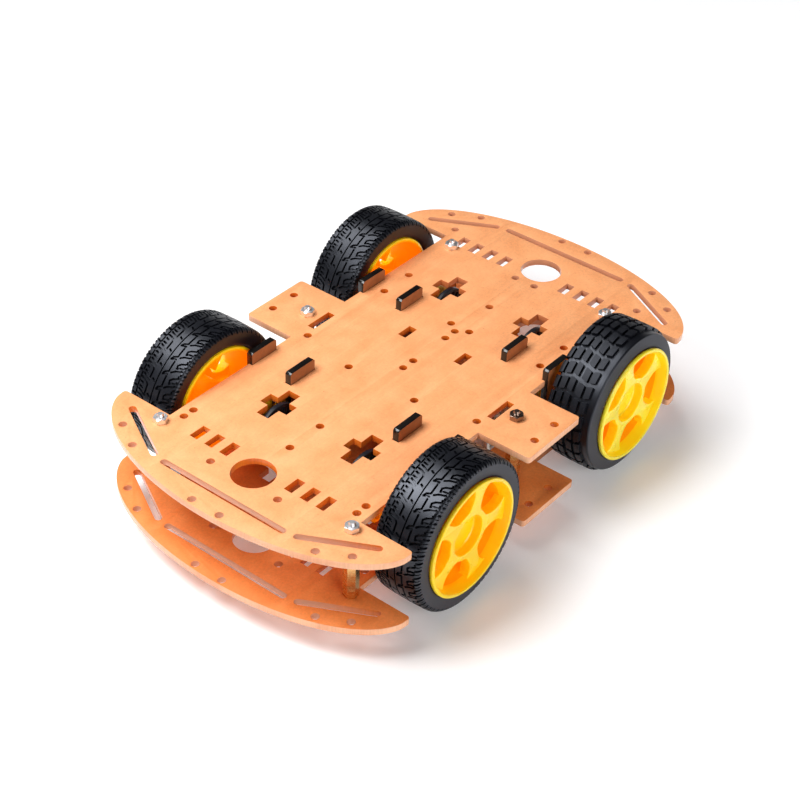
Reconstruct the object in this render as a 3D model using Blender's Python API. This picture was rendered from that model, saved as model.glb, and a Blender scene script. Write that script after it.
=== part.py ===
"""Four wheel robot chassis: two acrylic decks on hex standoffs, four geared hobby motors, four tyred wheels.

Frame: origin on the ground under the middle, +X to the front, +Y to the left, +Z up.
Outlines are drawn in millimetres, for the front left corner where a piece repeats, and become metres in emit().
"""

import math

import bmesh
import bpy
from mathutils import Matrix, Vector

MM = 0.001
CLEARANCE = 0.2  # between pieces that touch

# Heights
AXLE_Z = 33.0
DECK_THICKNESS = 3.0
DECK_GAP = 30.0
UPPER_TOP_Z = AXLE_Z + 14.4
LOWER_TOP_Z = UPPER_TOP_Z - DECK_THICKNESS - DECK_GAP
LOWER_BOTTOM_Z = LOWER_TOP_Z - DECK_THICKNESS

# Deck outline: a body, two half-oval bumpers and a wing on each side, with a notch round each wheel
BODY_HALF_WIDTH = 50.0
BUMPER_X = 90.2
BUMPER_DEPTH = 34.3
BUMPER_HALF_WIDTH = 75.6
WING_HALF_LENGTH = 17.6
WING_Y = 75.2
CORNER = 2.0

# Deck holes, as x, y; each is repeated at -y, and the corner ones at -x too
HOLE_RADIUS = 1.75
HOLE_SIDES = 6
CORNER_HOLES = ((121.8, 7.1), (113.4, 47.6), (106.7, 59.8))
FRONT_HOLES = ((100.7, 17.5), (87.0, 45.3), (81.6, 45.3), (17.9, 17.5), (12.2, 45.2))
REAR_HOLES = ((-35.5, 4.9), (-35.6, 42.3), (-52.8, 42.3), (-82.8, 5.2), (-97.0, 50.3))
WING_HOLES = ((6.8, 70.0), (-6.8, 70.0))
MIDDLE_HOLES_X = (74.1, 56.1, 3.4, -3.3, -25.2, -31.8, -56.5)
CABLE_HOLE_X = 95.2
CABLE_HOLE_RADIUS = 9.1
SENSOR_SLOT = (8.0, 4.0)
SENSOR_SLOT_X = 90.4
FRONT_SENSOR_SLOTS_Y = (17.0, 25.0, 33.0)
REAR_SENSOR_SLOTS_Y = (17.0, 25.0, 33.0, 41.0)
MIDDLE_SLOT = (-18.0, 15.0)
WING_SLOT = (13.7, 3.6)
WING_SLOT_Y = 48.2
BUMPER_SLOT_WIDTH = 3.1
BUMPER_SLOT_X = 112.8
BUMPER_SLOT_HALF_LENGTH = 32.3
SLANTED_SLOT_ENDS = ((111.7, 37.3), (97.0, 64.3))
CROSS_X = 56.3
CROSS_Y = 22.1
CROSS_LONG = (19.5, 6.1)
CROSS_SHORT = (6.3, 14.2)

# Standoffs
STANDOFF_PLACES = {"front": (95.4, 50.0), "middle": (0.0, 56.0), "rear": (-83.8, 42.2)}
STANDOFF_ACROSS_FLATS = 5.5
STUD_RADIUS = 1.45
STUD_HOLE_RADIUS = 1.85
STUD_TOP_Z = UPPER_TOP_Z + 3.8
STUD_SIDES = 8

# T-shaped motor brackets
AXLE_X = 56.2
BRACKET_X = AXLE_X - 20.3
BRACKET_THICKNESS = 3.0
STEM_WIDTH = 15.0
STEM_TOP_Z = UPPER_TOP_Z + 5.3
FOOT_WIDTH = 25.0
FOOT_HEIGHT = 5.0
INNER_BRACKET_Y = 28.5
OUTER_BRACKET_Y = 49.9
BOLT_RISE = 8.75
BOLT_HOLE_RADIUS = 1.65

# Gearbox and motor
GEARBOX_Y = 39.2
GEARBOX_HALF_THICKNESS = 9.0
GEARBOX_RADIUS = 11.1
GEARBOX_REAR_X = 30.4
WALL = 1.6
CAVITY_HALF_HEIGHT = 9.5
THROAT_HALF_HEIGHT = 5.9
THROAT_X = 40.0
NOSE_TAB = (7.5, 6.0, 2.5)
NOSE_HOLE_X = AXLE_X + 13.6
CAN_RADIUS = 10.05
CAN_HALF_THICKNESS = 7.55
CAN_FRONT_X = 30.1
CAN_REAR_X = 5.4
CAN_WALL = 1.0
CAP_THICKNESS = 1.9
CAP_BOSS = (3.5, 0.9)
ROTOR_SHAFT_RADIUS = 1.0
ROTOR_SHAFT_ENDS = (6.2, 33.95)
ARMATURE_RADIUS = 5.5
ARMATURE_ENDS = (10.0, 25.0)

# Gear train, by teeth and module; centre distances carry a little backlash
COARSE, FINE = 0.5, 0.4
WHEEL_TEETH, CROWN_TEETH, PINION_TEETH = 32, 24, 8
BACKLASH = 0.12
IDLER_X = AXLE_X - COARSE * (WHEEL_TEETH + PINION_TEETH) / 2 - BACKLASH
CROWN_X = IDLER_X - FINE * (WHEEL_TEETH + PINION_TEETH) / 2 - BACKLASH
CROWN_RADIUS = FINE * CROWN_TEETH / 2
PIN_RADIUS = 0.9
PIN_ENDS = (31.0, 47.4)
PIN_POCKETS = (PIN_ENDS[0] - CLEARANCE, PIN_ENDS[1] + CLEARANCE)
OUTPUT_GEAR_ENDS = (40.2, 43.7)
IDLER_WHEEL_ENDS = (33.4, 35.4)
IDLER_PINION_ENDS = (35.2, 44.4)
CROWN_PINION_ENDS = (32.4, 36.6)
SHAFT_RADIUS = 2.65
SHAFT_HALF_FLAT = 1.85
SHAFT_ENDS = (20.7, 60.0)

# Encoder disc
DISC_RADIUS = 12.8
DISC_ENDS = (22.3, 24.3)
DISC_SLOTS = 20
DISC_SLOT = (4.0, 1.4)
DISC_SLOT_RADIUS = 9.2

# Wheel
RIM_RADIUS = 26.0
RIM_SEAT_RADIUS = 24.5
RIM_INNER_RADIUS = 22.4
RIM_ENDS = (54.0, 78.4)
FLANGE = 1.3
LIP_WIDTH = 1.6
SPOKE_ENDS = (71.0, 75.7)
SPOKES = 5
FIRST_WINDOW_ANGLE = 90.0
WINDOW_RADII = (11.8, 20.9)
WINDOW_HALF_ANGLES = (17.0, 24.0)
HUB_RADIUS = 10.9
DISH_RADIUS = 8.75
DISH_FLOOR_Y = 70.8
SOCKET_RADIUS = 6.5
SOCKET_ENDS = (52.3, 61.0)
TYRE_SIDES = 24
TYRE_ENDS = (53.8, 76.8)
SHOULDER_DROP = 2.6


def clear_scene():
    for thing in list(bpy.data.objects):
        bpy.data.objects.remove(thing, do_unlink=True)


def new_collection(name):
    found = bpy.data.collections.new(name)
    bpy.context.scene.collection.children.link(found)
    return found


def material(name, colour, roughness, metallic=0.0):
    made = bpy.data.materials.new(name)
    made.use_nodes = True
    shader = made.node_tree.nodes["Principled BSDF"]
    shader.inputs["Base Color"].default_value = (*colour, 1.0)
    shader.inputs["Roughness"].default_value = roughness
    shader.inputs["Metallic"].default_value = metallic
    return made


# Outlines, as lists of 2-D points


def circle(x, y, radius, sides, turn=0.0):
    steps = (turn + 2 * math.pi * i / sides for i in range(sides))
    return [(x + radius * math.cos(a), y + radius * math.sin(a)) for a in steps]


def rectangle(x, y, length, width, turn=0.0):
    corners = ((-1, -1), (1, -1), (1, 1), (-1, 1))
    points = (Vector((u * length / 2, v * width / 2)) for u, v in corners)
    spin = Matrix.Rotation(turn, 2)
    return [tuple(spin @ p + Vector((x, y))) for p in points]


def cross(x, y, long_bar, short_bar):
    a, b = long_bar[0] / 2, long_bar[1] / 2
    c, d = short_bar[0] / 2, short_bar[1] / 2
    quarter = [(a, b), (c, b), (c, d)]
    half = quarter + [(-u, v) for u, v in reversed(quarter)]
    return [(x + u, y + v) for u, v in half + [(-u, -v) for u, v in half]]


def flattened_circle(x, y, radius, half_flat, sides=16):
    """A circle with its ends in the second direction cut flat, as on a double-D shaft or a motor can."""
    limit = math.asin(half_flat / radius)
    side = [limit * (2 * i / (sides // 2 - 1) - 1) for i in range(sides // 2)]
    angles = side + [a + math.pi for a in side]
    return [(x + radius * math.cos(a), y + radius * math.sin(a)) for a in angles]


def gear_outline(x, y, teeth, module, turn=0.0):
    """Teeth drawn as one point at each tip and one at each root."""
    radii = (module * (teeth / 2 + 0.75), module * (teeth / 2 - 1.05))
    angles = (turn + math.pi * i / teeth for i in range(2 * teeth))
    return [(x + radii[i % 2] * math.cos(a), y + radii[i % 2] * math.sin(a)) for i, a in enumerate(angles)]


def mirrored_y(loops):
    return loops + [[(x, -y) for x, y in loop] for loop in loops]


def mirrored_x(loops):
    return loops + [[(-x, y) for x, y in loop] for loop in loops]


# Solids in millimetres

AXIS_TURNS = {
    # the outline's first and second directions become: Z prism (X, Y), Y prism (X, Z), X prism (Y, Z)
    "Z": Matrix(((1, 0, 0), (0, 1, 0), (0, 0, 1))),
    "Y": Matrix(((1, 0, 0), (0, 0, -1), (0, 1, 0))),
    "X": Matrix(((0, 0, 1), (1, 0, 0), (0, 1, 0))),
}


def draft(name, mesh):
    thing = bpy.data.objects.new(name, mesh)
    cutters.objects.link(thing)
    thing.hide_render = True
    thing.display_type = "WIRE"
    return thing


def baked(thing):
    """The object's evaluated shape as a mesh of its own, with its caps welded."""
    bpy.context.view_layer.update()
    graph = bpy.context.evaluated_depsgraph_get()
    mesh = bpy.data.meshes.new_from_object(thing.evaluated_get(graph))
    work = bmesh.new()
    work.from_mesh(mesh)
    bmesh.ops.remove_doubles(work, verts=work.verts, dist=0.0005)
    bmesh.ops.recalc_face_normals(work, faces=work.faces)
    work.to_mesh(mesh)
    work.free()
    return mesh


def prism(loops, ends, axis="Z"):
    """A flat outline, with any holes, pulled from one end to the other along an axis."""
    curve = bpy.data.curves.new("outline", "CURVE")
    curve.dimensions = "2D"
    curve.fill_mode = "BOTH"
    curve.extrude = (ends[1] - ends[0]) / 2
    for loop in loops:
        spline = curve.splines.new("POLY")
        spline.points.add(len(loop) - 1)
        spline.use_cyclic_u = True
        for point, (u, v) in zip(spline.points, loop):
            point.co = (u, v, 0, 1)
    guide = draft("outline", curve)
    mesh = baked(guide)
    bpy.data.objects.remove(guide)
    # A Y prism's own direction points to -Y, which the shift allows for.
    middle = sum(ends) / 2
    mesh.transform(Matrix.Translation((0, 0, -middle if axis == "Y" else middle)))
    mesh.transform(AXIS_TURNS[axis].to_4x4())
    return draft("prism", mesh)


def turned_y(profile, x, z, sides, closed=True):
    """A profile of (y, radius) points spun about a line along Y: a ring, or with flat ends if it isn't closed."""
    work = bmesh.new()
    points = [work.verts.new((0, y, radius)) for y, radius in profile]
    for i, point in enumerate(points):
        if i or closed:
            work.edges.new((points[i - 1], point))
    bmesh.ops.rotate(work, verts=work.verts, matrix=Matrix.Rotation(math.pi / sides, 3, "Y"))
    bmesh.ops.spin(
        work, geom=work.verts[:] + work.edges[:], axis=(0, 1, 0), angle=2 * math.pi, steps=sides, use_merge=True
    )
    bmesh.ops.remove_doubles(work, verts=work.verts, dist=0.0005)
    bmesh.ops.holes_fill(work, edges=[edge for edge in work.edges if edge.is_boundary])
    bmesh.ops.recalc_face_normals(work, faces=work.faces)
    bmesh.ops.translate(work, verts=work.verts, vec=(x, 0, z))
    mesh = bpy.data.meshes.new("turned")
    work.to_mesh(mesh)
    work.free()
    return draft("turned", mesh)


def combined(target, others, operation):
    for other in others:
        modifier = target.modifiers.new(operation.lower(), "BOOLEAN")
        modifier.operation = operation
        modifier.solver = "EXACT"
        modifier.object = other
        mesh = baked(target)
        target.modifiers.clear()
        target.data = mesh
        bpy.data.objects.remove(other)
    return target


def joined(target, *others):
    return combined(target, others, "UNION")


def cut(target, *others):
    return combined(target, others, "DIFFERENCE")


# Finished pieces in metres


def emit(source, name, origin, finish, side_x=1, side_y=1):
    """Makes the named piece from a draft solid, mirrored to its corner, with its own origin."""
    mesh = source.data.copy()
    mirror = Matrix.Diagonal((side_x * MM, side_y * MM, MM, 1))
    mesh.transform(mirror @ Matrix.Translation(-Vector(origin)))
    if side_x * side_y < 0:
        mesh.flip_normals()
    mesh.materials.clear()
    mesh.materials.append(finish)
    mesh.shade_smooth()
    mesh.set_sharp_from_angle(angle=math.radians(30))
    mesh.name = name
    piece = bpy.data.objects.new(name, mesh)
    piece.location = mirror @ Vector(origin)
    chassis.objects.link(piece)


CORNERS = {"front_left": (1, 1), "front_right": (1, -1), "rear_left": (-1, 1), "rear_right": (-1, -1)}


def emit_corners(source, label, origin, finish):
    for corner, sides in CORNERS.items():
        emit(source, f"{label}_{corner}", origin, finish, *sides)
    bpy.data.objects.remove(source)


# Decks and standoffs


def deck_outline():
    """One quarter of the edge, from the bumper's middle to the wing's, mirrored twice."""
    angles = [math.radians(86 * i / 9) for i in range(10)]
    bumper = [(BUMPER_X + BUMPER_DEPTH * math.cos(a), BUMPER_HALF_WIDTH * math.sin(a)) for a in angles]
    recess = STEM_WIDTH / 2 + CLEARANCE
    recess_y = OUTER_BRACKET_Y - BRACKET_THICKNESS / 2 - CLEARANCE
    quarter = bumper + [
        (BUMPER_X, BUMPER_HALF_WIDTH - CORNER),
        (BUMPER_X, BODY_HALF_WIDTH),
        (BRACKET_X + recess, BODY_HALF_WIDTH),
        (BRACKET_X + recess, recess_y),
        (BRACKET_X - recess, recess_y),
        (BRACKET_X - recess, BODY_HALF_WIDTH),
        (WING_HALF_LENGTH, BODY_HALF_WIDTH),
        (WING_HALF_LENGTH, WING_Y - CORNER),
        (WING_HALF_LENGTH - CORNER, WING_Y),
    ]
    half = quarter + [(-x, y) for x, y in reversed(quarter)]
    return half + [(x, -y) for x, y in reversed(half[1:-1])]


def bumper_slots():
    (x0, y0), (x1, y1) = SLANTED_SLOT_ENDS
    length, turn = math.hypot(x1 - x0, y1 - y0), math.atan2(y1 - y0, x1 - x0)
    slanted = rectangle((x0 + x1) / 2, (y0 + y1) / 2, length, BUMPER_SLOT_WIDTH, turn)
    straight = rectangle(BUMPER_SLOT_X, 0, BUMPER_SLOT_WIDTH, 2 * BUMPER_SLOT_HALF_LENGTH)
    return mirrored_x(mirrored_y([slanted]) + [straight])


def small_holes():
    corner = mirrored_x([circle(x, y, HOLE_RADIUS, HOLE_SIDES) for x, y in CORNER_HOLES])
    paired = [circle(x, y, HOLE_RADIUS, HOLE_SIDES) for x, y in FRONT_HOLES + REAR_HOLES + WING_HOLES]
    studs = [circle(x, y, STUD_HOLE_RADIUS, STUD_SIDES) for x, y in STANDOFF_PLACES.values()]
    middle = [circle(x, 0, HOLE_RADIUS, HOLE_SIDES) for x in MIDDLE_HOLES_X]
    return mirrored_y(corner + paired + studs) + middle


def deck_windows():
    places = [(SENSOR_SLOT_X, y) for y in FRONT_SENSOR_SLOTS_Y]
    places += [(-SENSOR_SLOT_X, y) for y in REAR_SENSOR_SLOTS_Y] + [MIDDLE_SLOT]
    slots = [rectangle(x, y, *SENSOR_SLOT) for x, y in places]
    slots.append(rectangle(0, WING_SLOT_Y, *WING_SLOT))
    stem = (STEM_WIDTH + 2 * CLEARANCE, BRACKET_THICKNESS + 2 * CLEARANCE)
    stems = mirrored_x([rectangle(BRACKET_X, INNER_BRACKET_Y, *stem)])
    crosses = mirrored_x([cross(CROSS_X, CROSS_Y, CROSS_LONG, CROSS_SHORT)])
    round_holes = mirrored_x([circle(CABLE_HOLE_X, 0, CABLE_HOLE_RADIUS, 16)])
    return mirrored_y(slots + stems + crosses) + round_holes


def make_decks():
    paper = material("kraft_covered_acrylic", (0.85, 0.47, 0.20), 0.62)
    loops = [deck_outline()] + bumper_slots() + small_holes() + deck_windows()
    deck = prism(loops, (-DECK_THICKNESS / 2, DECK_THICKNESS / 2))
    for name, top in (("upper_deck", UPPER_TOP_Z), ("lower_deck", LOWER_TOP_Z)):
        middle = top - DECK_THICKNESS / 2
        deck.data.transform(Matrix.Translation((0, 0, middle)))
        emit(deck, name, (0, 0, middle), paper)
        deck.data.transform(Matrix.Translation((0, 0, -middle)))
    bpy.data.objects.remove(deck)


def make_standoffs():
    brass = material("brass", (0.72, 0.52, 0.22), 0.3, 1.0)
    hexagon_radius = STANDOFF_ACROSS_FLATS / math.sqrt(3)
    low, high = LOWER_TOP_Z + CLEARANCE, UPPER_TOP_Z - DECK_THICKNESS - CLEARANCE
    for place, (x, y) in STANDOFF_PLACES.items():
        body = prism([circle(x, y, hexagon_radius, 6)], (low, high))
        stud = prism([circle(x, y, STUD_RADIUS, STUD_SIDES)], (high - 1, STUD_TOP_Z))
        post = joined(body, stud)
        for name, side in (("left", 1), ("right", -1)):
            emit(post, f"standoff_{place}_{name}", (x, y, low), brass, side_y=side)
        bpy.data.objects.remove(post)


# Brackets


def bracket_outline():
    foot_top = LOWER_BOTTOM_Z - CLEARANCE
    foot_bottom = foot_top - FOOT_HEIGHT
    half = [
        (FOOT_WIDTH / 2, foot_bottom),
        (FOOT_WIDTH / 2, foot_top),
        (STEM_WIDTH / 2, foot_top),
        (STEM_WIDTH / 2, STEM_TOP_Z - 1),
        (STEM_WIDTH / 2 - 1, STEM_TOP_Z),
    ]
    return [(BRACKET_X + u, v) for u, v in half] + [(BRACKET_X - u, v) for u, v in reversed(half)]


def bolt_holes(radius, sides=6):
    return [circle(BRACKET_X, AXLE_Z + rise, radius, sides) for rise in (-BOLT_RISE, BOLT_RISE)]


def make_brackets():
    acrylic = material("black_acrylic", (0.02, 0.018, 0.016), 0.25)
    for label, y in (("bracket_inner", INNER_BRACKET_Y), ("bracket_outer", OUTER_BRACKET_Y)):
        ends = (y - BRACKET_THICKNESS / 2, y + BRACKET_THICKNESS / 2)
        bracket = prism([bracket_outline()] + bolt_holes(BOLT_HOLE_RADIUS), ends, "Y")
        emit_corners(bracket, label, (BRACKET_X, y, AXLE_Z), acrylic)


# Gearbox and motor


def gearbox_outline():
    angles = [math.radians(-90 + 22.5 * i) for i in range(9)]
    nose = [(AXLE_X + GEARBOX_RADIUS * math.cos(a), AXLE_Z + GEARBOX_RADIUS * math.sin(a)) for a in angles]
    return nose + [(GEARBOX_REAR_X, AXLE_Z + GEARBOX_RADIUS), (GEARBOX_REAR_X, AXLE_Z - GEARBOX_RADIUS)]


def cavity_outline():
    angles = [math.radians(-90 + 30 * i) for i in range(7)]
    nose = [
        (AXLE_X + CAVITY_HALF_HEIGHT * math.cos(a), AXLE_Z + CAVITY_HALF_HEIGHT * math.sin(a)) for a in angles
    ]
    rear = GEARBOX_REAR_X + WALL
    throat = [(THROAT_X, CAVITY_HALF_HEIGHT), (THROAT_X, THROAT_HALF_HEIGHT), (rear, THROAT_HALF_HEIGHT)]
    upper = [(x, AXLE_Z + rise) for x, rise in throat]
    return nose + upper + [(x, AXLE_Z - rise) for x, rise in reversed(throat)]


def gearbox_half(outer):
    """One half of the split gearbox; the halves meet on the motor's centre plane."""
    side = 1 if outer else -1
    split = GEARBOX_Y + side * CLEARANCE / 2
    wall = GEARBOX_Y + side * GEARBOX_HALF_THICKNESS
    floor = wall - side * WALL
    shell = prism([gearbox_outline()] + bolt_holes(BOLT_HOLE_RADIUS), sorted((split, wall)), "Y")
    if outer:
        length, height, thickness = NOSE_TAB
        tab = rectangle(AXLE_X + GEARBOX_RADIUS - 1.5 + length / 2, AXLE_Z, length, height)
        hole = circle(NOSE_HOLE_X, AXLE_Z, BOLT_HOLE_RADIUS, 6)
        joined(shell, prism([tab, hole], (split, split + thickness), "Y"))
    cavity = prism([cavity_outline()], sorted((split - side, floor)), "Y")
    through = (GEARBOX_Y - GEARBOX_HALF_THICKNESS - 1, GEARBOX_Y + GEARBOX_HALF_THICKNESS + 1)
    shaft_bore = prism([circle(AXLE_X, AXLE_Z, SHAFT_RADIUS + 2 * CLEARANCE, 8)], through, "Y")
    pin_radius = PIN_RADIUS + 0.25
    pins = [prism([circle(x, AXLE_Z, pin_radius, 6)], PIN_POCKETS, "Y") for x in (IDLER_X, CROWN_X)]
    rotor_hole = circle(GEARBOX_Y, AXLE_Z, ROTOR_SHAFT_RADIUS + 0.5, 6)
    rotor_bore = prism([rotor_hole], (GEARBOX_REAR_X - 1, GEARBOX_REAR_X + 2 * WALL), "X")
    return cut(shell, cavity, shaft_bore, *pins, rotor_bore)


def make_gearboxes():
    yellow = material("yellow_abs", (0.95, 0.62, 0.02), 0.35)
    origin = (AXLE_X, GEARBOX_Y, AXLE_Z)
    emit_corners(gearbox_half(True), "gearbox_outer_half", origin, yellow)
    emit_corners(gearbox_half(False), "gearbox_inner_half", origin, yellow)


def can_section(inset=0.0):
    """The can's section, flattened on its two Y sides."""
    outline = flattened_circle(AXLE_Z, GEARBOX_Y, CAN_RADIUS - inset, CAN_HALF_THICKNESS - inset)
    return [(y, z) for z, y in outline]


def make_motors():
    steel = material("motor_steel", (0.62, 0.62, 0.64), 0.28, 1.0)
    white = material("white_nylon", (0.85, 0.85, 0.82), 0.45)
    origin = (CAN_FRONT_X, GEARBOX_Y, AXLE_Z)
    can = prism([can_section()], (CAN_REAR_X, CAN_FRONT_X), "X")
    hollow = prism([can_section(CAN_WALL)], (CAN_REAR_X - 1, CAN_FRONT_X - CAN_WALL), "X")
    bore = prism([circle(GEARBOX_Y, AXLE_Z, ROTOR_SHAFT_RADIUS + 0.6, 8)], (CAN_FRONT_X - 3, CAN_FRONT_X + 1), "X")
    emit_corners(cut(can, hollow, bore), "motor_can", origin, steel)
    rear = CAN_REAR_X - CLEARANCE
    boss_radius, boss_length = CAP_BOSS
    plate = prism([can_section(0.3)], (rear - CAP_THICKNESS, rear), "X")
    boss = prism([circle(GEARBOX_Y, AXLE_Z, boss_radius, 12)], (rear - CAP_THICKNESS - boss_length, rear - 1), "X")
    emit_corners(joined(plate, boss), "motor_end_cap", origin, white)


# Gear train


def mesh_gear(x, teeth, module, ends, turn):
    return prism([gear_outline(x, AXLE_Z, teeth, module, turn)], ends, "Y")


def axle_pin(x):
    return prism([circle(x, AXLE_Z, PIN_RADIUS, 6)], PIN_ENDS, "Y")


def double_d(inset=0.0):
    """The shaft's section, with its flats facing along X."""
    outline = flattened_circle(AXLE_Z, AXLE_X, SHAFT_RADIUS + inset, SHAFT_HALF_FLAT + inset, 10)
    return [(x, z) for z, x in outline]


def make_output_shaft():
    nylon = material("natural_nylon", (0.86, 0.84, 0.78), 0.4)
    gear = mesh_gear(AXLE_X, WHEEL_TEETH, COARSE, OUTPUT_GEAR_ENDS, math.pi)
    shaft = prism([double_d()], SHAFT_ENDS, "Y")
    emit_corners(joined(gear, shaft), "output_shaft", (AXLE_X, 0, AXLE_Z), nylon)


def make_idler():
    red = material("red_nylon", (0.55, 0.06, 0.04), 0.4)
    half_tooth = math.pi / PINION_TEETH
    wheel = mesh_gear(IDLER_X, WHEEL_TEETH, FINE, IDLER_WHEEL_ENDS, math.pi)
    pinion = mesh_gear(IDLER_X, PINION_TEETH, COARSE, IDLER_PINION_ENDS, half_tooth)
    emit_corners(joined(wheel, pinion, axle_pin(IDLER_X)), "idler_gear", (IDLER_X, 0, AXLE_Z), red)


def crown_wheel():
    """A disc whose rim is lifted into face teeth at every second step."""
    root, tip = GEARBOX_Y - FINE * (PINION_TEETH / 2 + 1.05), GEARBOX_Y - FINE * (PINION_TEETH / 2 - 0.65)
    inner = CROWN_RADIUS - 0.6
    profile = [(root - 1, CROWN_RADIUS), (root, CROWN_RADIUS), (root, inner), (root, inner - 0.5)]
    disc = turned_y(profile, 0, 0, 2 * CROWN_TEETH, closed=False)
    for point in disc.data.vertices:
        radius = math.hypot(point.co.x, point.co.z)
        step = round(math.atan2(point.co.z, point.co.x) / (math.pi / CROWN_TEETH) - 0.5)
        if point.co.y > root - 0.5 and radius > inner - 0.1 and step % 2:
            point.co.y = tip
    # Half a step brings a gap under the rotor's pinion, which lies at the crown's rear.
    half_step = Matrix.Rotation(math.pi / (2 * CROWN_TEETH), 4, "Y")
    disc.data.transform(Matrix.Translation((CROWN_X, 0, AXLE_Z)) @ half_step)
    return disc


def make_crown_gear():
    white = material("crown_nylon", (0.80, 0.80, 0.76), 0.4)
    pinion = mesh_gear(CROWN_X, PINION_TEETH, FINE, CROWN_PINION_ENDS, math.pi / PINION_TEETH)
    emit_corners(joined(crown_wheel(), pinion, axle_pin(CROWN_X)), "crown_gear", (CROWN_X, 0, AXLE_Z), white)


def make_rotor():
    steel = material("rotor_steel", (0.55, 0.50, 0.45), 0.35, 1.0)
    shaft = prism([circle(GEARBOX_Y, AXLE_Z, ROTOR_SHAFT_RADIUS, 8)], ROTOR_SHAFT_ENDS, "X")
    armature = prism([circle(GEARBOX_Y, AXLE_Z, ARMATURE_RADIUS, 12)], ARMATURE_ENDS, "X")
    teeth = gear_outline(GEARBOX_Y, AXLE_Z, PINION_TEETH, FINE)
    pinion = prism([teeth], (CROWN_X - CROWN_RADIUS - 0.3, ROTOR_SHAFT_ENDS[1] - 0.2), "X")
    emit_corners(joined(shaft, armature, pinion), "motor_rotor", (CAN_FRONT_X, GEARBOX_Y, AXLE_Z), steel)


# Wheels


def make_encoder_disc():
    acrylic = material("encoder_black", (0.03, 0.03, 0.035), 0.2)
    slots = []
    for i in range(DISC_SLOTS):
        angle = 2 * math.pi * i / DISC_SLOTS
        x, z = AXLE_X + DISC_SLOT_RADIUS * math.cos(angle), AXLE_Z + DISC_SLOT_RADIUS * math.sin(angle)
        slots.append(rectangle(x, z, *DISC_SLOT, angle))
    disc = prism([circle(AXLE_X, AXLE_Z, DISC_RADIUS, 24), double_d(CLEARANCE)] + slots, DISC_ENDS, "Y")
    emit_corners(disc, "encoder_disc", (AXLE_X, 0, AXLE_Z), acrylic)


def rim_window(middle):
    """A window between two spokes: wide at the barrel, narrow at the hub."""
    low, high = WINDOW_RADII
    half_low, half_high = (math.radians(a) for a in WINDOW_HALF_ANGLES)
    corners = [(low, -half_low), (high, -half_high), (high, half_high), (low, half_low)]
    return [(AXLE_X + r * math.cos(middle + a), AXLE_Z + r * math.sin(middle + a)) for r, a in corners]


def rim_hub():
    """The socket that takes the shaft from inside, and the dish that closes it from outside."""
    face = SPOKE_ENDS[1]
    floor_back = DISH_FLOOR_Y - 2
    tube = prism([circle(AXLE_X, AXLE_Z, SOCKET_RADIUS, 12)], (SOCKET_ENDS[0], floor_back + 1), "Y")
    head = prism([circle(AXLE_X, AXLE_Z, HUB_RADIUS, 20)], (floor_back, face), "Y")
    socket = prism([double_d(0.15)], (SOCKET_ENDS[0] - 1, SOCKET_ENDS[1]), "Y")
    dish = prism([circle(AXLE_X, AXLE_Z, DISH_RADIUS, 20)], (DISH_FLOOR_Y, face + 1), "Y")
    return cut(joined(tube, head), socket, dish)


def make_rims():
    yellow = material("yellow_rim", (0.98, 0.72, 0.02), 0.22)
    inner_end, outer_end = RIM_ENDS
    face = SPOKE_ENDS[1]
    profile = [
        (inner_end, RIM_INNER_RADIUS + 1),
        (inner_end, RIM_SEAT_RADIUS),
        (outer_end - FLANGE, RIM_SEAT_RADIUS),
        (outer_end - FLANGE, RIM_RADIUS),
        (outer_end, RIM_RADIUS),
        (outer_end, RIM_RADIUS - LIP_WIDTH),
        (face, RIM_INNER_RADIUS),
    ]
    barrel = turned_y(profile, AXLE_X, AXLE_Z, TYRE_SIDES)
    first = math.radians(FIRST_WINDOW_ANGLE)
    windows = [rim_window(first + 2 * math.pi * i / SPOKES) for i in range(SPOKES)]
    turn = math.pi / 2 + math.pi / TYRE_SIDES
    disc = circle(AXLE_X, AXLE_Z, RIM_INNER_RADIUS + 0.6, TYRE_SIDES, turn)
    middle = circle(AXLE_X, AXLE_Z, DISH_RADIUS + 1, 20)
    spokes = prism([disc, middle] + windows, (SPOKE_ENDS[0], face - 0.1), "Y")
    emit_corners(joined(barrel, spokes, rim_hub()), "rim", (AXLE_X, 0, AXLE_Z), yellow)


def make_tyres():
    rubber = material("tyre_rubber", (0.025, 0.026, 0.03), 0.6)
    inner, outer = TYRE_ENDS
    crown = AXLE_Z / math.cos(math.pi / TYRE_SIDES)
    seat = (RIM_SEAT_RADIUS + CLEARANCE) / math.cos(math.pi / TYRE_SIDES)
    profile = [
        (inner, seat),
        (outer, seat),
        (outer, crown - SHOULDER_DROP),
        (outer - 1.2, crown - 0.9),
        (outer - 4, crown),
        (inner + 4, crown),
        (inner + 1.2, crown - 0.9),
        (inner, crown - SHOULDER_DROP),
    ]
    emit_corners(turned_y(profile, AXLE_X, AXLE_Z, TYRE_SIDES), "tyre", (AXLE_X, 0, AXLE_Z), rubber)


clear_scene()
chassis = new_collection("four_wheel_robot_chassis")
cutters = new_collection("cutters")
make_decks()
make_standoffs()
make_brackets()
make_gearboxes()
make_motors()
make_output_shaft()
make_idler()
make_crown_gear()
make_rotor()
make_encoder_disc()
make_rims()
make_tyres()
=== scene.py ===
"""Looks of the four wheel robot chassis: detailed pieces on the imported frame, studio light and the camera.

Outlines are in millimetres in the frame's axes, +X to the front, +Y to the left and +Z up. Pieces that repeat
are drawn for the front left corner. They become metres in add_piece().
"""

import math

import bmesh
import bpy
from mathutils import Matrix, Vector
from mathutils.geometry import delaunay_2d_cdt


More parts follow.
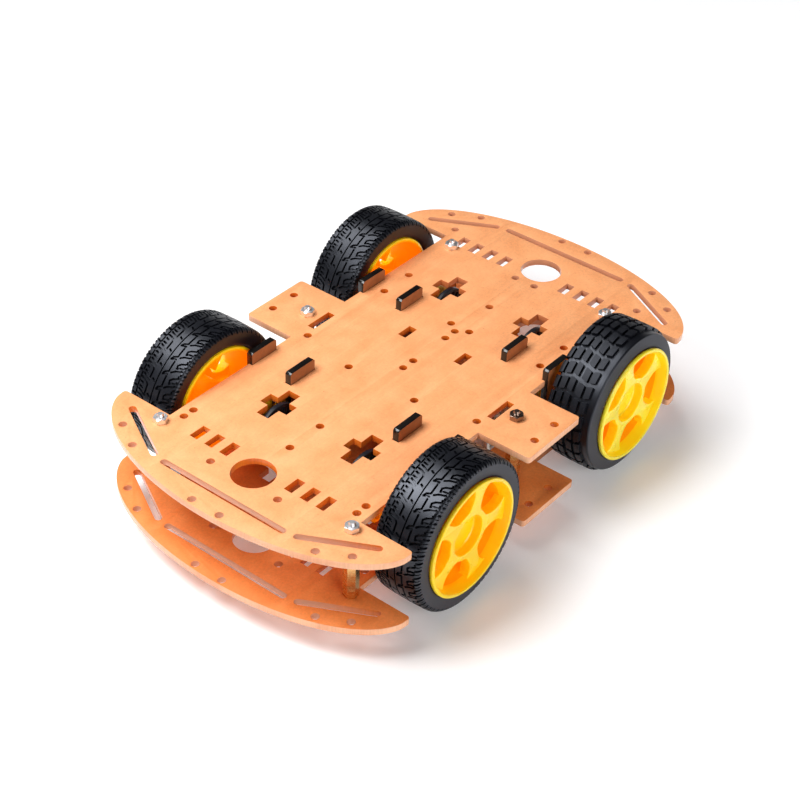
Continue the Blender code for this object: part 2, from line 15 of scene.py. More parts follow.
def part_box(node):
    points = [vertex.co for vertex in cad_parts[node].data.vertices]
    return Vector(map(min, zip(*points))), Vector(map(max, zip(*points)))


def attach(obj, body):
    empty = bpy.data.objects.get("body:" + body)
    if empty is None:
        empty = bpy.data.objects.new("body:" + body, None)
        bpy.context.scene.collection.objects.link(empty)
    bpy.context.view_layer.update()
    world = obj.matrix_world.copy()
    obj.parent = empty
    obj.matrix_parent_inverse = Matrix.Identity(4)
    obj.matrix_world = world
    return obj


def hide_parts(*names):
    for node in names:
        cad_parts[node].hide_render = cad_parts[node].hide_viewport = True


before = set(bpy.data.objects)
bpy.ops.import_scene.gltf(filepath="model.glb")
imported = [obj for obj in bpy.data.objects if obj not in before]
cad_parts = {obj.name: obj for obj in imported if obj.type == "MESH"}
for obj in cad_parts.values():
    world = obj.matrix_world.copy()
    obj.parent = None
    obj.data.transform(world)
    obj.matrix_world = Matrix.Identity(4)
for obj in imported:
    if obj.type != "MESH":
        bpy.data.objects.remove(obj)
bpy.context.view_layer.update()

MM = 0.001


def box_mm(node):
    low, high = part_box(node)
    return low / MM, high / MM


# Heights of the decks, read from the frame, and the front left axle
UPPER_TOP_Z = box_mm("upper_deck")[1].z
UPPER_BOTTOM_Z = box_mm("upper_deck")[0].z
LOWER_TOP_Z = box_mm("lower_deck")[1].z
LOWER_BOTTOM_Z = box_mm("lower_deck")[0].z
AXLE_X, AXLE_Z = 56.2, 33.0

# Deck outline
BODY_HALF_WIDTH = 50.0
BUMPER_X = 90.2
BUMPER_DEPTH = 34.3
BUMPER_HALF_WIDTH = 75.6
WING_HALF_LENGTH = 17.6
WING_Y = 75.2
PAPER_EDGE = 0.12

# Deck holes, each repeated at -y, and the corner ones at -x too
HOLE_RADIUS = 1.75
HOLE_SIDES = 20
CORNER_HOLES = ((121.8, 7.1), (113.4, 47.6), (106.7, 59.8))
FRONT_HOLES = ((100.7, 17.5), (87.0, 45.3), (81.6, 45.3), (17.9, 17.5), (12.2, 45.2))
REAR_HOLES = ((-35.5, 4.9), (-35.6, 42.3), (-52.8, 42.3), (-82.8, 5.2), (-97.0, 50.3))
WING_HOLES = ((6.8, 70.0), (-6.8, 70.0))
MIDDLE_HOLES_X = (74.1, 56.1, 3.4, -3.3, -25.2, -31.8, -56.5)
CABLE_HOLE_X = 95.2
CABLE_HOLE_RADIUS = 9.1
SENSOR_SLOT = (8.0, 4.0)
SENSOR_SLOT_X = 90.4
FRONT_SENSOR_SLOTS_Y = (17.0, 25.0, 33.0)
REAR_SENSOR_SLOTS_Y = (17.0, 25.0, 33.0, 41.0)
MIDDLE_SLOT = (-18.0, 15.0)
WING_SLOT = (13.7, 3.6)
WING_SLOT_Y = 48.2
BUMPER_SLOT_WIDTH = 3.1
BUMPER_SLOT_X = 112.8
BUMPER_SLOT_HALF_LENGTH = 32.3
SLANTED_SLOT_ENDS = ((111.7, 37.3), (97.0, 64.3))
CROSS_X, CROSS_Y = 56.3, 22.1
CROSS_LONG = (19.5, 6.1)
CROSS_SHORT = (6.3, 14.2)

# Brackets, standoffs and fixings
BRACKET_X = AXLE_X - 20.3
BRACKET_THICKNESS = 3.0
STEM_WIDTH = 15.0
STEM_TOP_Z = UPPER_TOP_Z + 5.3
FOOT_WIDTH, FOOT_HEIGHT = 25.0, 5.0
BRACKETS_Y = {"bracket_inner": 28.5, "bracket_outer": 49.9}
BOLT_RISE = 8.75
BOLT_HOLE_RADIUS = 1.65
STANDOFFS = {"front": (95.4, 50.0), "middle": (0.0, 56.0), "rear": (-83.8, 42.2)}
NUT_ACROSS_FLATS, NUT_HEIGHT = 5.5, 2.3
STUD_RADIUS = 1.45

# Gear motor
GEARBOX_Y = 39.2
GEARBOX_HALF_THICKNESS = 9.0
GEARBOX_RADIUS = 11.1
GEARBOX_REAR_X = 30.4
CAN_RADIUS, CAN_HALF_THICKNESS = 10.05, 7.55
CAN_ENDS_X = (5.4, 30.1)

# Encoder disc
DISC_RADIUS = 12.8
DISC_ENDS = (22.3, 24.3)
DISC_SLOTS = 20
DISC_SLOT = (4.0, 1.4)
DISC_SLOT_RADIUS = 9.2

# Wheel
RIM_RADIUS = 25.6
RIM_SEAT_RADIUS = 24.5
RIM_INNER_RADIUS = 22.4
RIM_ENDS = (54.0, 78.4)
SPOKE_ENDS = (71.0, 75.7)
SPOKES = 5
DISH_RADIUS, DISH_FLOOR_Y = 8.75, 71.6
HUB_RING_RADIUS = 10.4
SOCKET_RADIUS, SOCKET_START_Y = 6.5, 52.3
RIB_RADIUS, RIB_SIZE, RIB_ENDS = 16.6, (13.2, 1.3), (63.5, 71.4)
TYRE_MIDDLE_Y = 65.35
TYRE_RADIUS = 33.0
CROWN_HALF_WIDTH = 9.4
CROWN_DROP = 0.3
SHOULDER_RADIUS = 2.1
SHOULDER_TURN = 80.0
PITCHES = 30
PITCH_DEGREES = 360 / PITCHES
MM_PER_DEGREE = TYRE_RADIUS * math.pi / 180
TREAD_DEPTH, GROOVE_WIDTH = 1.3, 0.9
ROAD_TREAD_TURN, BLOCK_TREAD_TURN = 6.8, 2.0

CORNERS = {"front_left": (1, 1), "front_right": (1, -1), "rear_left": (-1, 1), "rear_right": (-1, -1)}


# Outlines


def arc(x, y, radius, first, last, steps):
    """Points round an arc, by angles in degrees."""
    angles = [math.radians(first + (last - first) * i / steps) for i in range(steps + 1)]
    return [(x + radius * math.cos(a), y + radius * math.sin(a)) for a in angles]


def circle(x, y, radius, sides=HOLE_SIDES, turn=0.0):
    return arc(x, y, radius, turn, turn + 360 - 360 / sides, sides - 1)


def rectangle(x, y, length, width):
    a, b = length / 2, width / 2
    return [(x - a, y - b), (x + a, y - b), (x + a, y + b), (x - a, y + b)]


def slot(start, end, width):
    """A round-ended slot between two centres."""
    turn = math.degrees(math.atan2(end[1] - start[1], end[0] - start[0]))
    return arc(*end, width / 2, turn - 90, turn + 90, 10) + arc(*start, width / 2, turn + 90, turn + 270, 10)


def cross(x, y):
    a, b = CROSS_LONG[0] / 2, CROSS_LONG[1] / 2
    c, d = CROSS_SHORT[0] / 2, CROSS_SHORT[1] / 2
    quarter = [(a, b), (c, b), (c, d)]
    half = quarter + [(-u, v) for u, v in reversed(quarter)]
    return [(x + u, y + v) for u, v in half + [(-u, -v) for u, v in half]]


def rounded(points, radius, steps=5):
    """The outline with each corner replaced by an arc, or by less of one where the sides are short."""
    out = []
    count = len(points)
    for i in range(count):
        here = Vector(points[i])
        before, after = Vector(points[i - 1]) - here, Vector(points[(i + 1) % count]) - here
        half = before.angle(after) / 2
        reach = min(radius / math.tan(half), before.length * 0.49, after.length * 0.49)
        start, end = here + before.normalized() * reach, here + after.normalized() * reach
        for k in range(steps + 1):
            w = k / steps
            out.append(tuple(start * (1 - w) ** 2 + here * 2 * w * (1 - w) + end * w**2))
    return out


def mirrored_y(loops):
    return loops + [[(x, -y) for x, y in loop] for loop in loops]


def mirrored_x(loops):
    return loops + [[(-x, y) for x, y in loop] for loop in loops]


# Solids, as meshes in millimetres

AXIS_TURNS = {
    "Z": Matrix(((1, 0, 0), (0, 1, 0), (0, 0, 1))),
    "Y": Matrix(((1, 0, 0), (0, 0, -1), (0, 1, 0))),
    "X": Matrix(((0, 0, 1), (1, 0, 0), (0, 1, 0))),
}


def evaluated_mesh(thing):
    bpy.context.view_layer.update()
    graph = bpy.context.evaluated_depsgraph_get()
    return bpy.data.meshes.new_from_object(thing.evaluated_get(graph))


def draft(data):
    thing = bpy.data.objects.new("draft", data)
    bpy.context.scene.collection.objects.link(thing)
    return thing


def cleaned(mesh, merge=0.0005):
    work = bmesh.new()
    work.from_mesh(mesh)
    bmesh.ops.remove_doubles(work, verts=work.verts, dist=merge)
    bmesh.ops.recalc_face_normals(work, faces=work.faces)
    work.to_mesh(mesh)
    work.free()
    return mesh


def prism(loops, ends, axis="Z", bevel=0.0):
    """A flat outline, with any holes, pulled along an axis, its edges rounded by bevel."""
    curve = bpy.data.curves.new("outline", "CURVE")
    curve.dimensions = "2D"
    curve.fill_mode = "BOTH"
    curve.extrude = (ends[1] - ends[0]) / 2 - bevel
    curve.bevel_depth = bevel
    curve.offset = -bevel
    curve.bevel_resolution = 1
    for loop in loops:
        spline = curve.splines.new("POLY")
        spline.points.add(len(loop) - 1)
        spline.use_cyclic_u = True
        for point, (u, v) in zip(spline.points, loop):
            point.co = (u, v, 0, 1)
    guide = draft(curve)
    mesh = cleaned(evaluated_mesh(guide))
    bpy.data.objects.remove(guide)
    middle = sum(ends) / 2
    mesh.transform(Matrix.Translation((0, 0, -middle if axis == "Y" else middle)))
    mesh.transform(AXIS_TURNS[axis].to_4x4())
    return mesh


def lathe(profile, axis, centre, steps=64, closed=True):
    """A profile of (place along the axis, radius) points spun round, with flat ends if it isn't closed."""
    work = bmesh.new()
    points = [work.verts.new((radius, 0, along)) for along, radius in profile]
    for i, point in enumerate(points):
        if i or closed:
            work.edges.new((points[i - 1], point))
    bmesh.ops.spin(
        work, geom=work.verts[:] + work.edges[:], axis=(0, 0, 1), angle=2 * math.pi, steps=steps,
        use_merge=True,
    )
    bmesh.ops.remove_doubles(work, verts=work.verts, dist=0.0005)
    bmesh.ops.holes_fill(work, edges=[edge for edge in work.edges if edge.is_boundary])
    bmesh.ops.recalc_face_normals(work, faces=work.faces)
    mesh = bpy.data.meshes.new("turned")
    work.to_mesh(mesh)
    work.free()
    # Y turns along minus Y in AXIS_TURNS, so its profile is flipped first.
    if axis == "Y":
        mesh.transform(Matrix.Diagonal((1, 1, -1, 1)))
        mesh.flip_normals()
    mesh.transform(AXIS_TURNS[axis].to_4x4())
    mesh.transform(Matrix.Translation(centre))
    return mesh


def moved(mesh, offset=(0, 0, 0), turn=None):
    copy = mesh.copy()
    copy.transform(Matrix.Translation(offset) @ (turn or Matrix.Identity(4)))
    return copy


def boolean(operation, first, *others):
    """The first mesh joined with, or cut by, the others."""
    target = draft(first)
    for other in others:
        tool = draft(other)
        modifier = target.modifiers.new("boolean", "BOOLEAN")
        modifier.operation = operation
        modifier.solver = "EXACT"
        modifier.object = tool
        target.data = evaluated_mesh(target)
        target.modifiers.clear()
        bpy.data.objects.remove(tool)
    mesh = cleaned(target.data)
    bpy.data.objects.remove(target)
    return mesh


def gathered(meshes):
    """Several separate meshes as one, such as the screws of one place."""
    work = bmesh.new()
    for mesh in meshes:
        work.from_mesh(mesh)
    out = bpy.data.meshes.new("gathered")
    work.to_mesh(out)
    work.free()
    return out


def add_piece(name, mesh, materials, body, side=(1, 1), replaces=None, sharp=32.0, pick=None):
    """Makes the named piece in metres, mirrored to its corner, riding on its body."""
    copy = mesh.copy()
    copy.transform(Matrix.Diagonal((side[0] * MM, side[1] * MM, MM, 1)))
    if side[0] * side[1] < 0:
        copy.flip_normals()
    copy.materials.clear()
    for finish in materials:
        copy.materials.append(finish)
    if pick:
        for face in copy.polygons:
            face.material_index = pick(face)
    copy.shade_smooth()
    copy.set_sharp_from_angle(angle=math.radians(sharp))
    piece = bpy.data.objects.new(name, copy)
    bpy.context.scene.collection.objects.link(piece)
    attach(piece, body)
    if replaces:
        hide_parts(*replaces)
    return piece


# Materials


class Paint:
    """A material being made, with short ways to add procedural nodes."""

    def __init__(self, name, colour, roughness, **values):
        self.material = bpy.data.materials.new(name)
        self.material.use_nodes = True
        self.tree = self.material.node_tree
        self.shader = self.tree.nodes["Principled BSDF"]
        self.shader.inputs["Base Color"].default_value = (*colour, 1)
        self.shader.inputs["Roughness"].default_value = roughness
        for key, value in values.items():
            self.shader.inputs[key.replace("_", " ")].default_value = value
        self.place = self.add("ShaderNodeTexCoord").outputs["Object"]

    def add(self, kind, **settings):
        node = self.tree.nodes.new(kind)
        for key, value in settings.items():
            setattr(node, key, value)
        return node

    def link(self, source, target):
        self.tree.links.new(source, target)
        return self

    def noise(self, scale, detail=3.0, stretch=(1, 1, 1), offset=0.0):
        mapping = self.add("ShaderNodeMapping")
        mapping.inputs["Scale"].default_value = stretch
        mapping.inputs["Location"].default_value = (offset, offset, offset)
        texture = self.add("ShaderNodeTexNoise")
        texture.inputs["Scale"].default_value = scale
        texture.inputs["Detail"].default_value = detail
        self.link(self.place, mapping.inputs["Vector"])
        self.link(mapping.outputs["Vector"], texture.inputs["Vector"])
        return texture.outputs["Fac"]

    def ramp(self, source, *stops):
        """Colours or greys along a ramp, each stop a place and a colour or a number."""
        node = self.add("ShaderNodeValToRGB")
        ramp = node.color_ramp
        while len(ramp.elements) < len(stops):
            ramp.elements.new(0.5)
        for element, (where, value) in zip(ramp.elements, stops):
            element.position = where
            element.color = (*value, 1) if isinstance(value, tuple) else (value, value, value, 1)
        self.link(source, node.inputs["Fac"])
        return node.outputs["Color"]

    def blend(self, first, second, how="MIX", amount=0.5):
        node = self.add("ShaderNodeMix", data_type="RGBA", blend_type=how)
        if isinstance(amount, float):
            node.inputs["Factor"].default_value = amount
        else:
            self.link(amount, node.inputs["Factor"])
        self.link(first, node.inputs["A"]).link(second, node.inputs["B"])
        return node.outputs["Result"]

    def colour(self, source):
        return self.link(source, self.shader.inputs["Base Color"])

    def roughness(self, source, low, high):
        node = self.add("ShaderNodeMapRange")
        node.inputs["To Min"].default_value = low
        node.inputs["To Max"].default_value = high
        self.link(source, node.inputs["Value"])
        return self.link(node.outputs["Result"], self.shader.inputs["Roughness"])

    def bump(self, source, distance, strength=0.5):
        node = self.add("ShaderNodeBump")
        node.inputs["Strength"].default_value = strength
        node.inputs["Distance"].default_value = distance
        self.link(source, node.inputs["Height"])
        return self.link(node.outputs["Normal"], self.shader.inputs["Normal"])


def kraft_paper(name, pale, deep, speck):
    paint = Paint(name, pale, 0.6, Specular_IOR_Level=0.35)
    clouds = paint.noise(110, 5, offset=1.3)
    fibres = paint.noise(760, 6)
    fine_fibres = paint.noise(1500, 5, offset=3.1)
    tone = paint.ramp(clouds, (0.25, deep), (0.7, pale))
    grain = paint.ramp(fibres, (0.34, 0.88), (0.66, 1.03))
    fine_grain = paint.ramp(fine_fibres, (0.34, 0.88), (0.66, 1.02))
    tone = paint.blend(tone, grain, "MULTIPLY", 0.7)
    tone = paint.blend(tone, fine_grain, "MULTIPLY", 0.7)
    spots = paint.ramp(paint.noise(1300, 2, offset=7.7), (0.71, 0.0), (0.78, 1.0))
    dark = paint.ramp(spots, (0.0, speck), (1.0, speck))
    paint.colour(paint.blend(tone, dark, "MIX", spots))
    paint.roughness(fibres, 0.5, 0.72)
    paint.bump(paint.blend(fibres, fine_fibres), 0.00005, 0.3)
    return paint.material


def acrylic_edge(name, pale, deep, ends=None):
    """A laser-cut edge between two papers, finely striated; ends is a paler colour near the bumpers, painted
    light where light fills the holes there.
    """
    paint = Paint(name, pale, 0.2, Coat_Weight=0.15, Coat_Roughness=0.1, IOR=1.49, Specular_IOR_Level=0.3)
    stripes = paint.noise(300, 2, (6, 6, 0.2))
    clouds = paint.noise(60, 3)
    tone = paint.ramp(clouds, (0.35, deep), (0.65, pale))
    tone = paint.blend(tone, paint.ramp(stripes, (0.3, 0.8), (0.7, 1.0)), "MULTIPLY", 0.7)
    # Painted light: the edges near both bumpers are blended towards the paler ends colour.
    if ends:
        split = paint.add("ShaderNodeSeparateXYZ")
        along = paint.add("ShaderNodeMapRange")
        along.inputs["From Min"].default_value = -0.125
        along.inputs["From Max"].default_value = 0.125
        paint.link(paint.place, split.inputs["Vector"]).link(split.outputs["X"], along.inputs["Value"])
        where = paint.ramp(along.outputs["Result"], (0.16, 1.0), (0.3, 0.0), (0.88, 0.0), (0.93, 1.0))
        painted_light_tone = paint.ramp(clouds, (0.3, ends), (0.7, tuple(0.85 * channel for channel in ends)))
        tone = paint.blend(tone, painted_light_tone, "MIX", where)
    paint.colour(tone)
    paint.roughness(stripes, 0.14, 0.32)
    paint.bump(stripes, 0.00005, 0.3)
    return paint.material


def black_acrylic(name):
    paint = Paint(name, (0.006, 0.005, 0.005), 0.16, Coat_Weight=0.15, Coat_Roughness=0.08)
    stripes = paint.noise(420, 2, (5, 5, 0.15))
    paint.colour(paint.ramp(paint.noise(80, 3), (0.3, (0.003, 0.0025, 0.0025)), (0.7, (0.01, 0.008, 0.007))))
    paint.roughness(stripes, 0.1, 0.28)
    paint.bump(stripes, 0.00006, 0.3)
    return paint.material


def rubber(name, pale, deep, rough=(0.36, 0.52), shine=0.5):
    paint = Paint(name, deep, 0.45, Specular_IOR_Level=shine)
    paint.shader.inputs["Specular Tint"].default_value = (0.82, 0.87, 1.0, 1)
    patches = paint.noise(90, 4)
    grain = paint.noise(2600, 3)
    paint.colour(paint.ramp(patches, (0.3, deep), (0.7, pale)))
    paint.roughness(patches, *rough)
    paint.bump(grain, 0.00004, 0.35)
    return paint.material


def moulded(name, pale, deep, rough=(0.2, 0.34), glow=0.0, coat=0.3, shine=0.5, painted_glow=0.0):
    """Moulded plastic with flow marks and a fine grain; glow carries light inside it, and a painted glow,
    emission in the plastic's own colour, lifts its shade.
    """
    paint = Paint(name, pale, rough[0], Coat_Weight=coat, Coat_Roughness=0.12, Specular_IOR_Level=shine)
    # Painted glow: the plastic emits light in its own colour, though it is no lamp.
    if painted_glow:
        paint.shader.inputs["Emission Color"].default_value = (*pale, 1)
        paint.shader.inputs["Emission Strength"].default_value = painted_glow
    if glow:
        paint.shader.inputs["Subsurface Weight"].default_value = glow
        paint.shader.inputs["Subsurface Radius"].default_value = (1.0, 0.45, 0.05)
        paint.shader.inputs["Subsurface Scale"].default_value = 0.004
    flow = paint.noise(55, 4, (1, 2.2, 1))
    paint.colour(paint.ramp(flow, (0.28, deep), (0.66, pale)))
    paint.roughness(flow, *rough)
    paint.bump(paint.noise(1400, 3), 0.00003, 0.25)
    return paint.material


def metal(name, pale, deep, rough=(0.2, 0.38), stretch=(1, 1, 9), scale=260):
    paint = Paint(name, pale, rough[0], Metallic=1.0)
    brushed = paint.noise(scale, 4, stretch)
    paint.colour(paint.ramp(paint.noise(120, 3), (0.3, deep), (0.7, pale)))
    paint.roughness(brushed, *rough)
    paint.bump(brushed, 0.00003, 0.3)
    return paint.material


PALE_KRAFT, DEEP_KRAFT, KRAFT_SPECK = (0.89, 0.39, 0.165), (0.82, 0.32, 0.12), (0.52, 0.15, 0.04)
deck_paper = kraft_paper("deck_kraft_paper", PALE_KRAFT, DEEP_KRAFT, KRAFT_SPECK)
# Painted shade: the lower deck is a darker, deeper orange copy of the deck paper, standing in for the upper
# deck's shade and the light bounced between the decks.
shaded_lower_paper = kraft_paper("lower_kraft_paper_painted_shade", (0.86, 0.265, 0.065), (0.78, 0.21, 0.045), KRAFT_SPECK)
outer_edge = acrylic_edge("outer_cut_edge", (0.90, 0.48, 0.28), (0.80, 0.35, 0.18))
# Painted shade: the walls of holes and slots are a darker orange copy of the cut edge, with painted light
# near the bumpers.
hole_edge_painted_shade_and_light = acrylic_edge("hole_cut_edge_painted_shade_and_light", (0.80, 0.21, 0.025), (0.66, 0.13, 0.012), (0.74, 0.34, 0.19))
bracket_paper = kraft_paper("bracket_kraft_paper", (0.37, 0.13, 0.045), (0.27, 0.085, 0.025),
                            (0.14, 0.03, 0.006))
bracket_edge = black_acrylic("bracket_cut_edge")
tread_rubber = rubber("tread_rubber", (0.005, 0.0055, 0.008), (0.0025, 0.0028, 0.0045), (0.28, 0.4), 0.46)
block_rubber = rubber("block_rubber", (0.005, 0.0055, 0.008), (0.0025, 0.0028, 0.0045), (0.42, 0.55), 0.35)
# Painted light: the sidewall is the same rubber, matte, with a lighter grey base standing in for the light it
# catches from the floor.
painted_light_sidewall_rubber = rubber("painted_light_sidewall_rubber", (0.036, 0.036, 0.043), (0.024, 0.024, 0.03), (0.5, 0.64))
# Painted shade: the barrel's walls and deep inside are deeper orange copies of the rim plastic, standing in
# for their shade and the light bounced inside the rim, each with a painted glow.
SHADED_WALL_LOOK = dict(rough=(0.3, 0.42), glow=0.7, coat=0.0, shine=0.2, painted_glow=0.22)
SHADED_INSIDE_LOOK = dict(rough=(0.4, 0.55), glow=0.8, coat=0.0, shine=0.05, painted_glow=0.3)
YELLOW_RIM = (
    moulded("rim_yellow", (1.0, 0.67, 0.006), (0.98, 0.60, 0.003), glow=0.25, coat=0.12),
    moulded("rim_yellow_wall_painted_shade", (1.0, 0.50, 0.002), (1.0, 0.42, 0.001), **SHADED_WALL_LOOK),
    moulded("rim_yellow_inside_painted_shade", (1.0, 0.33, 0.001), (1.0, 0.26, 0.001), **SHADED_INSIDE_LOOK),
)
LEMON_RIM = (
    moulded("rim_lemon", (0.95, 0.79, 0.04), (0.90, 0.68, 0.02), glow=0.2, coat=0.12),
    moulded("rim_lemon_wall_painted_shade", (0.95, 0.62, 0.006), (0.90, 0.52, 0.003), **SHADED_WALL_LOOK),
    moulded("rim_lemon_inside_painted_shade", (0.9, 0.36, 0.003), (0.82, 0.26, 0.001), **SHADED_INSIDE_LOOK),
)
gearbox_yellow = moulded("gearbox_yellow", (0.90, 0.50, 0.008), (0.84, 0.42, 0.004), (0.3, 0.45), coat=0.1)
encoder_black = moulded("encoder_black", (0.012, 0.013, 0.017), (0.006, 0.006, 0.009), (0.3, 0.42), coat=0.0,
                        shine=0.25)
zinc = metal("zinc_plated_steel", (0.94, 0.94, 0.95), (0.82, 0.82, 0.85), (0.3, 0.46))
dark_zinc = metal("aged_steel", (0.34, 0.25, 0.20), (0.2, 0.13, 0.1))
can_steel = metal("drawn_steel", (0.66, 0.66, 0.68), (0.52, 0.52, 0.55), stretch=(12, 1, 1))
rotor_steel = metal("rotor_laminations", (0.46, 0.42, 0.38), (0.30, 0.26, 0.23), (0.3, 0.5), (14, 1, 1))
brass = metal("turned_brass", (0.80, 0.56, 0.24), (0.66, 0.43, 0.16), (0.18, 0.34))
copper = metal("tinned_copper", (0.80, 0.52, 0.36), (0.62, 0.40, 0.28), (0.24, 0.4))
white_nylon = moulded("white_nylon", (0.80, 0.80, 0.76), (0.70, 0.70, 0.66), (0.35, 0.5), coat=0.0)
natural_nylon = moulded("natural_nylon", (0.82, 0.79, 0.70), (0.72, 0.68, 0.58), (0.35, 0.5), coat=0.0)
red_nylon = moulded("red_nylon", (0.52, 0.045, 0.03), (0.42, 0.03, 0.02), (0.3, 0.45), coat=0.0)
crown_nylon = moulded("crown_nylon", (0.76, 0.76, 0.71), (0.66, 0.66, 0.61), (0.35, 0.5), coat=0.0)
strap_nylon = moulded("strap_nylon", (0.72, 0.74, 0.72), (0.60, 0.62, 0.60), (0.2, 0.35), coat=0.2)


# Decks


def deck_outline():
    bumper = [(BUMPER_X + BUMPER_DEPTH * math.cos(a), BUMPER_HALF_WIDTH * math.sin(a))
              for a in (math.radians(84 * i / 42) for i in range(43))]
    tip = rounded([bumper[-1], (BUMPER_X, BUMPER_HALF_WIDTH - 0.3), (BUMPER_X, BODY_HALF_WIDTH)], 2.6)[6:12]
    recess = STEM_WIDTH / 2 + 0.2
    recess_y = BRACKETS_Y["bracket_outer"] - BRACKET_THICKNESS / 2 - 0.2
    wing = arc(WING_HALF_LENGTH - 1.5, WING_Y - 1.5, 1.5, 0, 90, 4)
    quarter = bumper[:-1] + tip + [
        (BUMPER_X, BODY_HALF_WIDTH),
        (BRACKET_X + recess, BODY_HALF_WIDTH),
        (BRACKET_X + recess, recess_y),
        (BRACKET_X - recess, recess_y),
        (BRACKET_X - recess, BODY_HALF_WIDTH),
        (WING_HALF_LENGTH, BODY_HALF_WIDTH),
    ] + wing
    half = quarter + [(-x, y) for x, y in reversed(quarter)]
    return half + [(x, -y) for x, y in reversed(half[1:-1])]


def deck_holes():
    corner = mirrored_x([circle(x, y, HOLE_RADIUS) for x, y in CORNER_HOLES])
    places = FRONT_HOLES + REAR_HOLES + WING_HOLES + tuple(STANDOFFS.values())
    paired = [circle(x, y, HOLE_RADIUS) for x, y in places]
    middle = [circle(x, 0, HOLE_RADIUS) for x in MIDDLE_HOLES_X]
    cable = mirrored_x([circle(CABLE_HOLE_X, 0, CABLE_HOLE_RADIUS, 56)])
    return mirrored_y(corner + paired) + middle + cable


def deck_slots():
    places = [(SENSOR_SLOT_X, y) for y in FRONT_SENSOR_SLOTS_Y]
    places += [(-SENSOR_SLOT_X, y) for y in REAR_SENSOR_SLOTS_Y] + [MIDDLE_SLOT]
    small = [rectangle(x, y, *SENSOR_SLOT) for x, y in places] + [rectangle(0, WING_SLOT_Y, *WING_SLOT)]
    stem = (STEM_WIDTH + 0.4, BRACKET_THICKNESS + 0.4)
    stems = mirrored_x([rectangle(BRACKET_X, BRACKETS_Y["bracket_inner"], *stem)])
    crosses = mirrored_x([cross(CROSS_X, CROSS_Y)])
    slanted = mirrored_x([slot(*SLANTED_SLOT_ENDS, BUMPER_SLOT_WIDTH)])
    reach = BUMPER_SLOT_HALF_LENGTH - BUMPER_SLOT_WIDTH / 2
    straight = mirrored_x([slot((BUMPER_SLOT_X, -reach), (BUMPER_SLOT_X, reach), BUMPER_SLOT_WIDTH)])
    return mirrored_y(small + stems + crosses + slanted) + straight


def inside(x, y, loop):
    """Whether a point is inside an outline, by the number of sides to its right."""
    odd = False
    for (x0, y0), (x1, y1) in zip(loop, loop[1:] + loop[:1]):
        if (y0 > y) != (y1 > y) and x < x0 + (y - y0) * (x1 - x0) / (y1 - y0):
            odd = not odd
    return odd


def deck_finish(outline):
    """Picks paper for the flat faces, and tells the outer edge from the walls of holes and slots, which take
    the painted shade.
    """

    def pick(face):
        if abs(face.normal.z) > 0.9:
            return 0
        beside = face.center / MM + face.normal * 0.5
        return 2 if inside(beside.x, beside.y, outline) else 1

    return pick


def make_decks():
    loops = [deck_outline()] + deck_holes() + deck_slots()
    heights = {"upper": (UPPER_BOTTOM_Z, UPPER_TOP_Z), "lower": (LOWER_BOTTOM_Z, LOWER_TOP_Z)}
    papers = {"upper": deck_paper, "lower": shaded_lower_paper}
    for name, ends in heights.items():
        mesh = prism(loops, ends, bevel=PAPER_EDGE)
        finishes = (papers[name], outer_edge, hole_edge_painted_shade_and_light)
        add_piece(f"{name}_deck_sheet", mesh, finishes, "chassis",
                  replaces=[f"{name}_deck"], pick=deck_finish(loops[0]))


# Brackets


def bracket_outline():
    foot_top = LOWER_BOTTOM_Z - 0.2
    half = [
        (FOOT_WIDTH / 2, foot_top - FOOT_HEIGHT),
        (FOOT_WIDTH / 2, foot_top),
        (STEM_WIDTH / 2, foot_top),
        (STEM_WIDTH / 2, STEM_TOP_Z - 0.8),
        (STEM_WIDTH / 2 - 0.8, STEM_TOP_Z),
    ]
    return [(BRACKET_X + u, v) for u, v in half] + [(BRACKET_X - u, v) for u, v in reversed(half)]


def paper_on_sides(face):
    return 0 if abs(face.normal.y) > 0.9 else 1


def make_brackets():
    holes = [circle(BRACKET_X, AXLE_Z + rise, BOLT_HOLE_RADIUS) for rise in (-BOLT_RISE, BOLT_RISE)]
    for label, y in BRACKETS_Y.items():
        ends = (y - BRACKET_THICKNESS / 2, y + BRACKET_THICKNESS / 2)
        mesh = prism([rounded(bracket_outline(), 0.5, 3)] + holes, ends, "Y", 0.15)
        for corner, side in CORNERS.items():
            add_piece(f"{label}_plate_{corner}", mesh, (bracket_paper, bracket_edge), "chassis",
                      side, [f"{label}_{corner}"], pick=paper_on_sides)


# Standoffs, nuts and screws


def hexagon(x, y, across_flats, turn=0.0):
    return circle(x, y, across_flats / math.sqrt(3), 6, turn)


def hex_body(x, y, across_flats, ends, turn=0.0, chamfer=0.35):
    """A hexagon whose corners are turned off at both ends, as on a nut."""
    low, high = ends
    body = prism([hexagon(x, y, across_flats, turn)], ends)
    corner = across_flats / math.sqrt(3)
    flat = across_flats / 2
    cone = lathe([(low, flat), (low + chamfer, corner + 0.02), (high - chamfer, corner + 0.02), (high, flat)],
                 "Z", (x, y, 0), 48, closed=False)
    return boolean("INTERSECT", body, cone)


def thread(radius, ends, centre, axis="Z", pitch=0.5, steps=28):
    """A stud with ridges at the thread's pitch and a tapered end."""
    low, high = ends
    profile = [(low, radius)]
    turns = int((high - low - 0.4) / pitch)
    for i in range(turns):
        profile += [(low + (i + 0.5) * pitch, radius - 0.22), (low + (i + 1) * pitch, radius)]
    profile.append((high, radius - 0.35))
    return lathe(profile, axis, centre, steps, closed=False)


